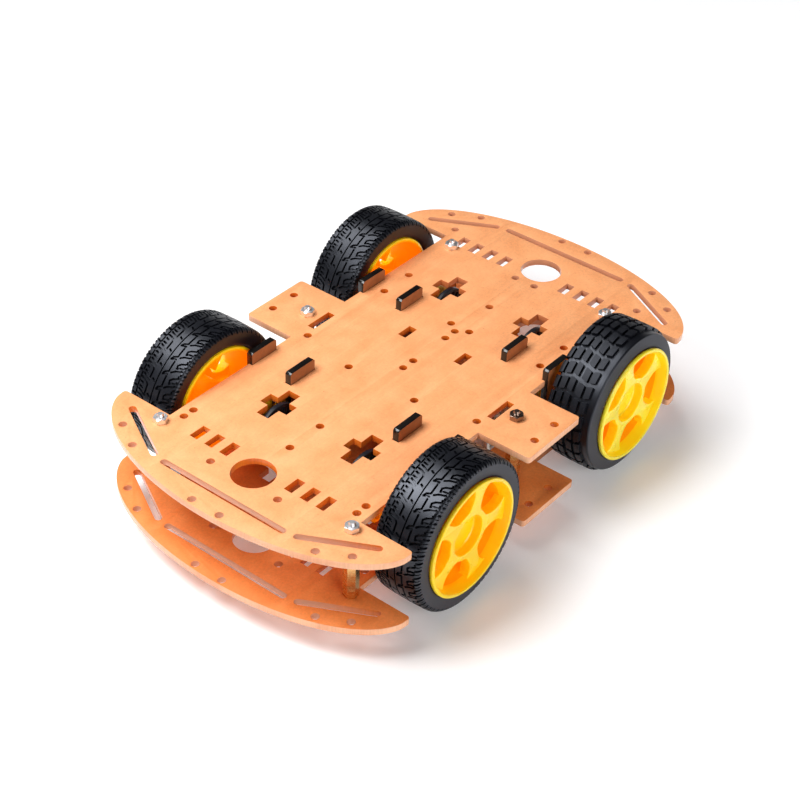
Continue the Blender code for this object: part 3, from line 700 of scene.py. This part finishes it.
def make_standoffs():
    low, high = LOWER_TOP_Z + 0.05, UPPER_BOTTOM_Z - 0.05
    for place, (x, y) in STANDOFFS.items():
        post = hex_body(x, y, NUT_ACROSS_FLATS, (low, high), 12.0)
        nut = hex_body(x, y, NUT_ACROSS_FLATS, (UPPER_TOP_Z + 0.03, UPPER_TOP_Z + NUT_HEIGHT), 38.0)
        bore = lathe([(UPPER_TOP_Z - 1, 1.52), (UPPER_TOP_Z + 4, 1.52)], "Z", (x, y, 0), 28, closed=False)
        nut = boolean("DIFFERENCE", nut, bore)
        stud = thread(STUD_RADIUS, (high - 0.5, UPPER_TOP_Z + 3.8), (x, y, 0))
        screw = deck_screw(x, y)
        for name, sign in (("left", 1), ("right", -1)):
            side = (1, sign)
            tag = f"{place}_{name}"
            aged = place == "middle" and name == "left"
            finish = dark_zinc if aged else zinc
            add_piece(f"standoff_body_{tag}", post, (brass,), "chassis", side, [f"standoff_{tag}"])
            add_piece(f"standoff_stud_{tag}", stud, (finish,), "chassis", side)
            add_piece(f"standoff_nut_{tag}", nut, (finish,), "chassis", side)
            add_piece(f"deck_screw_{tag}", screw, (zinc,), "chassis", side)


def cross_recess(centre, depth, axis):
    """The cutter of a cross slot in a screw's head, open towards minus axis."""
    arms = [prism([rectangle(centre[0], centre[1], *size)], depth, axis) for size in ((2.6, 0.6), (0.6, 2.6))]
    return boolean("UNION", *arms)


def deck_screw(x, y):
    """A pan head under the lower deck."""
    base = LOWER_BOTTOM_Z - 0.03
    dome = [(base, 2.75), (base - 1.2, 2.65), (base - 1.75, 2.0), (base - 1.95, 1.0)]
    head = lathe(dome, "Z", (x, y, 0), 32, closed=False)
    head = boolean("DIFFERENCE", head, cross_recess((x, y), (base - 3, base - 0.9), "Z"))
    line = [(base - 0.2, STUD_RADIUS), (LOWER_TOP_Z + 0.03, STUD_RADIUS)]
    stem = lathe(line, "Z", (x, y, 0), 24, closed=False)
    return boolean("UNION", head, stem)


def make_motor_bolts():
    outer = BRACKETS_Y["bracket_outer"] + BRACKET_THICKNESS / 2
    inner = BRACKETS_Y["bracket_inner"] - BRACKET_THICKNESS / 2
    parts, nuts = [], []
    for rise in (-BOLT_RISE, BOLT_RISE):
        z = AXLE_Z + rise
        dome = [(outer + 0.03, 2.7), (outer + 0.9, 2.6), (outer + 1.35, 2.0), (outer + 1.5, 1.0)]
        head = lathe(dome, "Y", (BRACKET_X, 0, z), 32, closed=False)
        recess = cross_recess((BRACKET_X, z), (outer + 0.7, outer + 3), "Y")
        head = boolean("DIFFERENCE", head, recess)
        shank = thread(1.42, (0, outer - inner + 3.4), (BRACKET_X, 0, 0), "Y", 0.5, 20)
        shank.transform(Matrix.Translation((0, outer + 0.2, z)) @ Matrix.Diagonal((1, -1, 1, 1)))
        shank.flip_normals()
        parts += [boolean("UNION", head, shank)]
        nut = hex_body(0, 0, NUT_ACROSS_FLATS, (0, NUT_HEIGHT))
        nut = boolean("DIFFERENCE", nut, lathe([(-1, 1.5), (4, 1.5)], "Z", (0, 0, 0), 24, closed=False))
        place = Matrix.Translation((BRACKET_X, inner - 0.03, z))
        nut.transform(place @ Matrix.Rotation(math.radians(90), 4, "X"))
        nuts.append(nut)
    for corner, side in CORNERS.items():
        add_piece(f"motor_bolts_{corner}", gathered(parts), (zinc,), "chassis", side)
        add_piece(f"motor_bolt_nuts_{corner}", gathered(nuts), (zinc,), "chassis", side)


# Gear motors


def gearbox_outline(inset=0.0):
    radius = GEARBOX_RADIUS - inset
    nose = arc(AXLE_X, AXLE_Z, radius, -90, 90, 28)
    rear = GEARBOX_REAR_X + inset
    return nose + arc(rear + 1.5, AXLE_Z + radius - 1.5, 1.5, 90, 180, 5) + arc(
        rear + 1.5, AXLE_Z - radius + 1.5, 1.5, 180, 270, 5)


def make_gearboxes():
    screws = [(AXLE_X - 7.0, AXLE_Z + 8.2), (AXLE_X + 8.4, AXLE_Z - 5.4), (AXLE_X - 9.5, AXLE_Z - 8.2)]
    for outer in (True, False):
        side = 1 if outer else -1
        split = GEARBOX_Y + side * 0.12
        wall = GEARBOX_Y + side * GEARBOX_HALF_THICKNESS
        ends = sorted((split, wall))
        holes = [circle(BRACKET_X, AXLE_Z + rise, BOLT_HOLE_RADIUS) for rise in (-BOLT_RISE, BOLT_RISE)]
        holes += [circle(AXLE_X, AXLE_Z, 3.0, 32)]
        half = prism([gearbox_outline()] + holes, ends, "Y", 0.35)
        boss_ends = sorted((wall - side * 0.5, wall + side * 0.02))
        groove = prism([gearbox_outline(1.3), gearbox_outline(1.8)], boss_ends, "Y")
        half = boolean("DIFFERENCE", half, groove)
        if outer:
            tab = slot((AXLE_X + 10, AXLE_Z), (AXLE_X + 14.1, AXLE_Z), 6.0)
            hole = circle(AXLE_X + 13.6, AXLE_Z, BOLT_HOLE_RADIUS)
            half = boolean("UNION", half, prism([tab, hole], (split, split + 2.5), "Y", 0.2))
        else:
            pockets = [prism([circle(x, z, 2.3, 24)], (wall - 1, wall + 1.2), "Y") for x, z in screws]
            half = boolean("DIFFERENCE", half, *pockets)
        label = "gearbox_outer_half" if outer else "gearbox_inner_half"
        for corner, sides in CORNERS.items():
            add_piece(f"{label}_shell_{corner}", half, (gearbox_yellow,), "chassis", sides,
                      [f"{label}_{corner}"])
    make_gearbox_screws(screws)


def make_gearbox_screws(places):
    wall = GEARBOX_Y - GEARBOX_HALF_THICKNESS
    heads = []
    for x, z in places:
        dome = [(wall + 1.3, 1.9), (wall + 0.6, 1.85), (wall + 0.3, 1.3), (wall + 0.22, 0.6)]
        head = lathe(dome, "Y", (x, 0, z), 24, closed=False)
        heads.append(boolean("DIFFERENCE", head, cross_recess((x, z), (wall - 1, wall + 0.7), "Y")))
    for corner, side in CORNERS.items():
        add_piece(f"gearbox_screws_{corner}", gathered(heads), (zinc,), "chassis", side)


def can_section(inset=0.0):
    limit = math.degrees(math.asin((CAN_HALF_THICKNESS - inset) / (CAN_RADIUS - inset)))
    radius = CAN_RADIUS - inset
    top = arc(GEARBOX_Y, AXLE_Z, radius, 90 - limit, 90 + limit, 16)
    return top + arc(GEARBOX_Y, AXLE_Z, radius, 270 - limit, 270 + limit, 16)


def make_motors():
    rear, front = CAN_ENDS_X
    shell = prism([can_section(), circle(GEARBOX_Y, AXLE_Z, 1.8, 24)], (rear, front), "X", 0.5)
    dimples = []
    for sign in (-1, 1):
        cutter = lathe([(-1, 1.6), (0.5, 0.9)], "Y", (0, 0, 0), 24, closed=False)
        offset = (rear + 4, GEARBOX_Y + sign * CAN_HALF_THICKNESS, AXLE_Z)
        dimples.append(moved(cutter, offset, Matrix.Rotation(0 if sign < 0 else math.pi, 4, "X")))
    shell = boolean("DIFFERENCE", shell, *dimples)
    cap_rear = rear - 2.1
    plate = prism([can_section(0.35)], (cap_rear, rear - 0.15), "X", 0.3)
    boss = prism([circle(GEARBOX_Y, AXLE_Z, 3.5, 32), circle(GEARBOX_Y, AXLE_Z, 1.1, 20)],
                 (cap_rear - 0.9, cap_rear + 0.5), "X", 0.2)
    cap = boolean("UNION", plate, boss)
    tabs = []
    for sign in (-1, 1):
        tab = prism([rectangle(0, 0, 2.2, 5.0), circle(0, -1.3, 0.55, 12)], (-0.2, 0.2), "Z", 0.05)
        turn = Matrix.Rotation(math.radians(90), 4, "Y")
        tabs.append(moved(tab, (cap_rear - 0.7, GEARBOX_Y + sign * 4.6, AXLE_Z + 4.8), turn))
    band = strap_mesh()
    for corner, side in CORNERS.items():
        add_piece(f"motor_shell_{corner}", shell, (can_steel,), "chassis", side,
                  [f"motor_can_{corner}"])
        add_piece(f"motor_cap_{corner}", cap, (white_nylon,), "chassis", side,
                  [f"motor_end_cap_{corner}"])
        add_piece(f"motor_terminals_{corner}", gathered(tabs), (copper,), "chassis", side)
        add_piece(f"motor_strap_{corner}", band, (strap_nylon,), "chassis", side)


def strap_mesh():
    """The band that runs over the motor's top, back and bottom and hooks on the gearbox."""
    rear, front = CAN_ENDS_X
    back, reach = rear - 3.4, front + 5.0
    rise, thick = CAN_RADIUS + 0.35, 0.9
    outer = rounded([(reach, -rise - thick), (reach, rise + thick), (back - thick, rise + thick),
                     (back - thick, -rise - thick)], 2.2)
    inner = rounded([(front + 6, -rise), (back, -rise), (back, rise), (front + 6, rise)], 1.4)
    outline = [(x, AXLE_Z + z) for x, z in outer]
    hollow = [(x, AXLE_Z + z) for x, z in inner]
    band = prism([outline], (GEARBOX_Y - 3.1, GEARBOX_Y + 3.1), "Y", 0.15)
    void = prism([hollow], (GEARBOX_Y - 4, GEARBOX_Y + 4), "Y")
    return boolean("DIFFERENCE", band, void)


def dress_gears():
    """The gears, shafts and rotors keep their CAD shapes and get finished materials."""
    finishes = {"output_shaft": natural_nylon, "idler_gear": red_nylon, "crown_gear": crown_nylon,
                "motor_rotor": rotor_steel}
    for label, finish in finishes.items():
        for corner in CORNERS:
            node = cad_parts[f"{label}_{corner}"]
            node.data.materials.clear()
            node.data.materials.append(finish)


# Encoder discs


def double_d(radius, half_flat):
    limit = math.degrees(math.asin(half_flat / radius))
    side = arc(0, 0, radius, 90 - limit, 90 + limit, 8) + arc(0, 0, radius, 270 - limit, 270 + limit, 8)
    return [(AXLE_X + u, AXLE_Z + v) for v, u in side]


def make_encoder_discs():
    loops = [circle(AXLE_X, AXLE_Z, DISC_RADIUS, 72), double_d(2.85, 2.05)]
    for i in range(DISC_SLOTS):
        spin = Matrix.Rotation(2 * math.pi * i / DISC_SLOTS, 2)
        window = rectangle(DISC_SLOT_RADIUS, 0, *DISC_SLOT)
        loops.append([tuple(spin @ Vector(p) + Vector((AXLE_X, AXLE_Z))) for p in rounded(window, 0.3, 2)])
    disc = prism(loops, DISC_ENDS, "Y", 0.12)
    for corner, side in CORNERS.items():
        add_piece(f"encoder_wheel_{corner}", disc, (encoder_black,), f"wheel_{corner}", side,
                  [f"encoder_disc_{corner}"])


# Rims


def star_outline(first_window):
    """Spokes that end inside the barrel's wall, between windows with bowed sides."""
    reach = RIM_INNER_RADIUS + 1.3
    side = [(11.2, 5.0), (11.4, 15.0), (12.8, 21.2), (15.0, 24.8), (17.5, 26.3), (19.5, 25.6), (21.3, 23.8),
            (22.6, 21.5), (reach, 20.5)]
    window = [(r, -a) for r, a in reversed(side)] + [(11.25, 0.0)] + side
    points = []
    for i in range(SPOKES):
        middle = first_window + 360 * i / SPOKES
        points += [(r, middle + a) for r, a in window]
        points += [(reach, middle + a) for a in (26.0, 36.0, 46.0)]
    flat = [(r * math.cos(math.radians(a)), r * math.sin(math.radians(a))) for r, a in points]
    return [(AXLE_X + u, AXLE_Z + v) for u, v in rounded(flat, 0.9, 3)]


def rim_barrel():
    inner, outer = RIM_ENDS
    face = SPOKE_ENDS[1]
    profile = [
        (inner, RIM_SEAT_RADIUS - 0.9),
        (inner + 0.3, RIM_SEAT_RADIUS - 0.1),
        (inner + 0.8, RIM_SEAT_RADIUS),
        (outer - 1.7, RIM_SEAT_RADIUS),
        (outer - 1.6, RIM_RADIUS - 0.25),
        (outer - 1.35, RIM_RADIUS),
        (outer - 0.45, RIM_RADIUS),
        (outer - 0.12, RIM_RADIUS - 0.2),
        (outer, RIM_RADIUS - 0.5),
        (outer, RIM_RADIUS - 1.2),
        (outer - 0.12, RIM_RADIUS - 1.4),
        (outer - 0.5, RIM_RADIUS - 1.6),
        (outer - 1.3, RIM_RADIUS - 2.0),
        (face + 0.5, RIM_INNER_RADIUS + 0.95),
        (face - 0.6, RIM_INNER_RADIUS + 0.45),
        (face - 2.2, RIM_INNER_RADIUS),
        (inner, RIM_SEAT_RADIUS - 1.5),
    ]
    return lathe(profile, "Y", (AXLE_X, 0, AXLE_Z), 120)


def rim_hub(first_window):
    face, floor = SPOKE_ENDS[1], DISH_FLOOR_Y
    cup = [
        (floor - 1.8, HUB_RING_RADIUS),
        (face - 0.5, HUB_RING_RADIUS),
        (face - 0.5, DISH_RADIUS + 0.5),
        (face - 1.2, DISH_RADIUS),
        (floor + 0.4, DISH_RADIUS - 0.1),
        (floor, DISH_RADIUS - 0.6),
    ]
    dish = lathe(cup, "Y", (AXLE_X, 0, AXLE_Z), 72, closed=False)
    socket = [circle(AXLE_X, AXLE_Z, SOCKET_RADIUS, 48), double_d(2.8, 2.0)]
    tube = prism(socket, (SOCKET_START_Y, floor - 1), "Y", 0.25)
    ribs = []
    for i in range(SPOKES):
        angle = math.radians(first_window + 36 + 72 * i)
        rib = prism([rectangle(RIB_RADIUS, 0, *RIB_SIZE)], RIB_ENDS, "Y")
        rib.transform(Matrix.Translation((AXLE_X, 0, AXLE_Z)) @ Matrix.Rotation(-angle, 4, "Y"))
        ribs.append(rib)
    return [dish, tube] + ribs


def rim_mesh(first_window):
    loops = [star_outline(first_window), circle(AXLE_X, AXLE_Z, DISH_RADIUS + 0.05, 72)]
    star = prism(loops, SPOKE_ENDS, "Y", 0.35)
    return gathered([rim_barrel(), star] + rim_hub(first_window))


def rim_face_or_painted_shade(face):
    """The front faces and lip take the rim plastic; the walls between them and the deep inside take deeper
    orange copies of it, painted shade with a painted glow.
    """
    reach = math.hypot(abs(face.center.x) - AXLE_X * MM, face.center.z - AXLE_Z * MM)
    outer = reach > (RIM_SEAT_RADIUS - 0.6) * MM
    if abs(face.center.y) < (DISH_FLOOR_Y - 0.3) * MM and not outer:
        return 2
    return 0 if outer or abs(face.normal.y) > 0.7 or abs(face.center.y) > (RIM_ENDS[1] - 0.75) * MM else 1


RIM_FIRST_WINDOWS = {"front_left": 73.0, "front_right": 90.0, "rear_left": 66.0, "rear_right": 90.0}


def make_rims():
    for corner, side in CORNERS.items():
        finishes = LEMON_RIM if corner == "rear_left" else YELLOW_RIM
        add_piece(f"rim_moulding_{corner}", rim_mesh(RIM_FIRST_WINDOWS[corner]), finishes, f"wheel_{corner}",
                  side, [f"rim_{corner}"], sharp=28, pick=rim_face_or_painted_shade)


# Tyres


def tyre_section():
    """The tyre's outer skin as (distance from the crown's middle, y, radius, normal's y, normal's radius)."""
    half = []
    steps = 6
    for i in range(steps + 1):
        u = CROWN_HALF_WIDTH * i / steps
        half.append((u, u, TYRE_RADIUS - CROWN_DROP * (u / CROWN_HALF_WIDTH) ** 2, 0.0, 1.0))
    start, y0, r0 = CROWN_HALF_WIDTH, CROWN_HALF_WIDTH, TYRE_RADIUS - CROWN_DROP - SHOULDER_RADIUS
    for degrees in (16, 32, 48, 64, SHOULDER_TURN):
        a = math.radians(degrees)
        u = start + SHOULDER_RADIUS * a
        half.append((u, y0 + SHOULDER_RADIUS * math.sin(a), r0 + SHOULDER_RADIUS * math.cos(a),
                     math.sin(a), math.cos(a)))
    u, y, r = half[-1][:3]
    for drop, inset in ((1.0, 0.0), (4.4, 0.1), (5.3, 0.35), (6.1, 0.9)):
        half.append((u + drop, y - inset, r - drop, 1.0, 0.0))
    return [(-u, -y, r, -ny, nr) for u, y, r, ny, nr in reversed(half[1:])] + half


SECTION = tyre_section()


def skin_point(u, s, depth):
    """The place of a point of the flat tread pattern on the tyre, sunk by depth."""
    for low, high in zip(SECTION, SECTION[1:]):
        if u <= high[0] + 1e-6:
            break
    w = min(max((u - low[0]) / (high[0] - low[0]), 0), 1)
    y, r, ny, nr = (a * (1 - w) + b * w for a, b in zip(low[1:], high[1:]))
    angle = s / TYRE_RADIUS
    radius = r - depth * nr
    return (radius * math.sin(angle), TYRE_MIDDLE_Y + y - depth * ny, radius * math.cos(angle))


def stroke(points, width=0.5):
    """A groove of even width along a line of (y, degrees) points: a box for each straight stretch."""
    line = [Vector((y - TYRE_MIDDLE_Y, degrees * MM_PER_DEGREE)) for y, degrees in points]
    boxes = []
    for first, last in zip(line, line[1:]):
        along = (last - first).normalized() * width / 2
        across = Vector((-along.y, along.x))
        first, last = first - along * 0.6, last + along * 0.6
        corners = (first - across, last - across, last + across, first + across)
        boxes.append([tuple(corner) for corner in corners])
    return boxes


def block(y0, y1, top, bottom):
    """A tread block's outline: its ends in y, and its top and bottom in degrees at each end."""
    corners = [(y0, bottom[0]), (y1, bottom[1]), (y1, top[1]), (y0, top[0])]
    flat = [(y - TYRE_MIDDLE_Y, degrees * MM_PER_DEGREE) for y, degrees in corners]
    return rounded(flat, 0.35, 2)


def shoulder_slots():
    """Short slots across both shoulders, two wide and two narrow ones to a pitch."""
    low, high = CROWN_HALF_WIDTH + 0.35, CROWN_HALF_WIDTH + 2.9
    out = []
    for k in range(4):
        width = 1.0 if k % 2 else 0.4
        at = (k + 0.5) * PITCH_DEGREES / 4
        for sign in (-1, 1):
            ends = [(TYRE_MIDDLE_Y + sign * low, at + 0.5), (TYRE_MIDDLE_Y + sign * high, at - 0.5)]
            out += stroke(ends, width)
    return out


def road_tread():
    """The directional tread's grooves over one pitch, as sunk outlines, and the rings round it."""
    lines = [
        [(62.2, 11.7), (62.2, 3.8), (61.5, 2.0), (60.0, 0.8), (58.3, 0.2)],
        [(62.2, 11.8), (60.3, 10.1), (58.5, 8.9)],
        [(58.5, 6.6), (60.4, 7.4)],
        [(58.5, 3.2), (60.0, 4.0)],
        [(63.6, 9.6), (65.0, 10.9)],
        [(69.2, 11.8), (69.2, 2.4), (66.9, 3.4), (67.5, 1.4), (69.1, 0.0), (69.2, -0.2)],
        [(70.4, 12.1), (72.0, 10.1), (74.3, 8.9), (75.0, 7.8), (74.7, 6.4), (73.3, 6.7)],
        [(73.3, 6.7), (71.9, 7.9), (71.7, 5.4), (72.7, 3.7), (74.6, 2.3), (75.0, 1.2), (74.7, 0.2)],
    ]
    grooves = shoulder_slots()
    for line in lines:
        grooves += stroke(line, GROOVE_WIDTH)
    for degrees in (2.0, 8.0):
        grooves += stroke([(57.4, degrees), (55.9, degrees - 0.6)], 1.0)
    rings = stroke([(65.8, -1.0), (65.8, PITCH_DEGREES + 1)], 0.65)
    return grooves, rings + stroke([(57.6, -1.0), (57.6, PITCH_DEGREES + 1)], 0.8)


def block_tread():
    """The block tread's blocks over one pitch, as raised outlines."""
    return [
        block(52.0, 56.4, (14.2, 12.4), (4.6, 3.4)),
        block(57.4, 60.0, (12.2, 10.6), (2.8, 1.4)),
        block(61.1, 63.6, (9.4, 10.9), (0.2, 1.4)),
        block(65.4, 68.2, (11.0, 12.5), (2.0, 3.2)),
        block(69.4, 72.0, (12.0, 10.5), (3.0, 1.4)),
    ]


def flat_tile(outlines, rings):
    """One pitch of the pattern, cut into triangles, each marked by whether an outline covers it."""
    pitch = PITCH_DEGREES * MM_PER_DEGREE
    low, high = SECTION[0][0], SECTION[-1][0]
    points = [Vector(p) for p in ((low, 0), (high, 0), (high, pitch), (low, pitch))]
    faces = [[0, 1, 2, 3]]
    edges = []

    def add_line(a, b):
        edges.append((len(points), len(points) + 1))
        points.extend((Vector(a), Vector(b)))

    for station in SECTION[1:-1]:
        add_line((station[0], 0), (station[0], pitch))
    steps = 4
    for k in range(1, steps):
        add_line((low, pitch * k / steps), (high, pitch * k / steps))
    copies = [[(u, s + shift) for u, s in outline] for outline in outlines for shift in (-pitch, 0, pitch)]
    for outline in copies + rings:
        if max(s for _, s in outline) > 0 and min(s for _, s in outline) < pitch:
            faces.append(list(range(len(points), len(points) + len(outline))))
            points.extend(Vector(p) for p in outline)
    made = delaunay_2d_cdt(points, edges, faces, 0, 1e-5, True)
    flat, triangles, sources = made[0], made[2], made[5]
    return flat, [(t, len(source) > 1) for t, source in zip(triangles, sources) if 0 in source]


def tyre_mesh(outlines, rings, raised, turn):
    """The tyre with its tread cut in: the flat pitch is bent round the section, repeated and turned."""
    flat, triangles = flat_tile(outlines, rings)
    pitch_angle = math.radians(PITCH_DEGREES)
    work = bmesh.new()
    made = {}

    def vert(index, sunk):
        if (index, sunk) not in made:
            u, s = flat[index]
            edge = min(1.0, max(0.0, (SECTION[-1][0] - 2.2 - abs(u)) / 0.8))
            made[index, sunk] = work.verts.new(skin_point(u, s, TREAD_DEPTH * edge if sunk else 0.0))
        return made[index, sunk]

    sides = {}
    for triangle, covered in triangles:
        sunk = covered != raised
        work.faces.new([vert(i, sunk) for i in triangle])
        for a, b in zip(triangle, triangle[1:] + triangle[:1]):
            sides.setdefault(frozenset((a, b)), []).append((a, b, sunk))
    for pair in sides.values():
        if len(pair) == 2 and pair[0][2] != pair[1][2]:
            a, b, _ = pair[0] if not pair[0][2] else pair[1]
            corners = [vert(a, False), vert(a, True), vert(b, True), vert(b, False)]
            if len(set(corners)) == 4:
                work.faces.new(corners)
    bmesh.ops.remove_doubles(work, verts=work.verts, dist=1e-4)
    tile = work.verts[:] + work.edges[:] + work.faces[:]
    for k in range(1, PITCHES):
        copied = bmesh.ops.duplicate(work, geom=tile)["geom"]
        verts = [v for v in copied if isinstance(v, bmesh.types.BMVert)]
        bmesh.ops.rotate(work, verts=verts, matrix=Matrix.Rotation(pitch_angle * k, 3, "Y"))
    bmesh.ops.remove_doubles(work, verts=work.verts, dist=0.004)
    bmesh.ops.bridge_loops(work, edges=[e for e in work.edges if e.is_boundary])
    bmesh.ops.recalc_face_normals(work, faces=work.faces)
    bmesh.ops.rotate(work, verts=work.verts, matrix=Matrix.Rotation(math.radians(turn), 3, "Y"))
    bmesh.ops.translate(work, verts=work.verts, vec=(AXLE_X, 0, AXLE_Z))
    mesh = bpy.data.meshes.new("tyre")
    work.to_mesh(mesh)
    work.free()
    return mesh


def tread_or_painted_light_sidewall(face):
    """The flat sidewall takes a matte rubber painted lighter grey, painted light for the floor's glow on it;
    the tops of the tread take their own rubber.
    """
    if abs(face.normal.y) > 0.93 and abs(face.center.y) > (TYRE_MIDDLE_Y + 10) * MM:
        return 1
    reach = math.hypot(abs(face.center.x) - AXLE_X * MM, face.center.z - AXLE_Z * MM)
    return 2 if reach > (TYRE_RADIUS - 0.55) * MM else 0


def make_tyres():
    grooves, rings = road_tread()
    road = tyre_mesh(grooves, rings, False, ROAD_TREAD_TURN)
    blocks = tyre_mesh(block_tread(), [], True, BLOCK_TREAD_TURN)
    for corner, (sx, sy) in CORNERS.items():
        mesh = blocks if corner == "rear_left" else road
        placed = moved(mesh, ((sx - 1) * AXLE_X, (sy - 1) * TYRE_MIDDLE_Y, 0))
        tops = block_rubber if corner == "rear_left" else tread_rubber
        add_piece(f"tyre_tread_{corner}", placed, (tread_rubber, painted_light_sidewall_rubber, tops), f"wheel_{corner}",
                  (1, 1), [f"tyre_{corner}"], sharp=35, pick=tread_or_painted_light_sidewall)


# Studio

CAMERA_PLACE = (0.49872, 0.38376, 0.50524)
CAMERA_TARGET = (0.00661, 0.00143, 0.033)
CAMERA_ROLL = 2.086
CAMERA_LENS = 83.77


def make_camera():
    data = bpy.data.cameras.new("camera")
    data.lens = CAMERA_LENS
    data.sensor_width = 36
    data.clip_start, data.clip_end = 0.01, 20
    camera = bpy.data.objects.new("camera", data)
    bpy.context.scene.collection.objects.link(camera)
    camera.location = CAMERA_PLACE
    look = Vector(CAMERA_TARGET) - Vector(CAMERA_PLACE)
    roll = Matrix.Rotation(math.radians(CAMERA_ROLL), 4, "Z")
    camera.rotation_mode = "QUATERNION"
    camera.rotation_quaternion = (look.to_track_quat("-Z", "Y").to_matrix().to_4x4() @ roll).to_quaternion()
    bpy.context.scene.camera = camera


def make_floor():
    work = bmesh.new()
    bmesh.ops.create_grid(work, x_segments=8, y_segments=8, size=4.0)
    mesh = bpy.data.meshes.new("floor")
    work.to_mesh(mesh)
    work.free()
    floor = bpy.data.objects.new("studio_floor", mesh)
    bpy.context.scene.collection.objects.link(floor)
    floor.location.z = -0.0004
    paint = Paint("floor_white", (0.9, 0.9, 0.91), 0.6, Emission_Strength=FLOOR_GLOW)
    paint.shader.inputs["Emission Color"].default_value = (1, 1, 1, 1)
    paint.colour(paint.ramp(paint.noise(3, 4), (0.3, (0.89, 0.89, 0.9)), (0.7, (0.91, 0.91, 0.92))))
    mesh.materials.append(paint.material)


def light(name, kind, direction, distance, power, spread):
    data = bpy.data.lights.new(name, kind)
    data.energy = power
    if kind == "SUN":
        data.angle = math.radians(spread)
    else:
        data.shape = "DISK"
        data.size = spread
    thing = bpy.data.objects.new(name, data)
    away = Vector(direction).normalized()
    thing.location = away * distance
    thing.rotation_mode = "QUATERNION"
    thing.rotation_quaternion = (-away).to_track_quat("-Z", "Y")
    bpy.context.scene.collection.objects.link(thing)


FLOOR_GLOW = 0.16
HORIZON, OVERHEAD = (0.12, 0.6), (0.19, 0.035)  # the sine of a height and the sky's grey there
LIGHTS = {  # kind, direction, distance, power, and a sun's angle or a soft box's width
    "key": ("SUN", (0.05, -0.50, 0.86), 2, 2.3, 40),
    "front": ("SUN", (0.25, 0.88, 0.40), 2, 1.7, 44),
    "near": ("AREA", (0.24, -0.13, 0.38), 0.468, 1.5, 0.24),
}


def make_studio():
    world = bpy.data.worlds.new("studio")
    world.use_nodes = True
    background = world.node_tree.nodes["Background"]
    nodes, links = world.node_tree.nodes, world.node_tree.links
    height = nodes.new("ShaderNodeSeparateXYZ")
    ramp = nodes.new("ShaderNodeValToRGB")
    for element, (where, grey) in zip(ramp.color_ramp.elements, (HORIZON, OVERHEAD)):
        element.position = where
        element.color = (grey, grey, grey, 1)
    links.new(nodes.new("ShaderNodeTexCoord").outputs["Generated"], height.inputs["Vector"])
    links.new(height.outputs["Z"], ramp.inputs["Fac"])
    links.new(ramp.outputs["Color"], background.inputs["Color"])
    bpy.context.scene.world = world
    for name, settings in LIGHTS.items():
        light(name, *settings)
    bpy.context.scene.view_settings.view_transform = "Standard"
    make_floor()


make_decks()
make_brackets()
make_standoffs()
make_motor_bolts()
make_gearboxes()
make_motors()
dress_gears()
make_encoder_discs()
make_rims()
make_tyres()
make_camera()
make_studio()
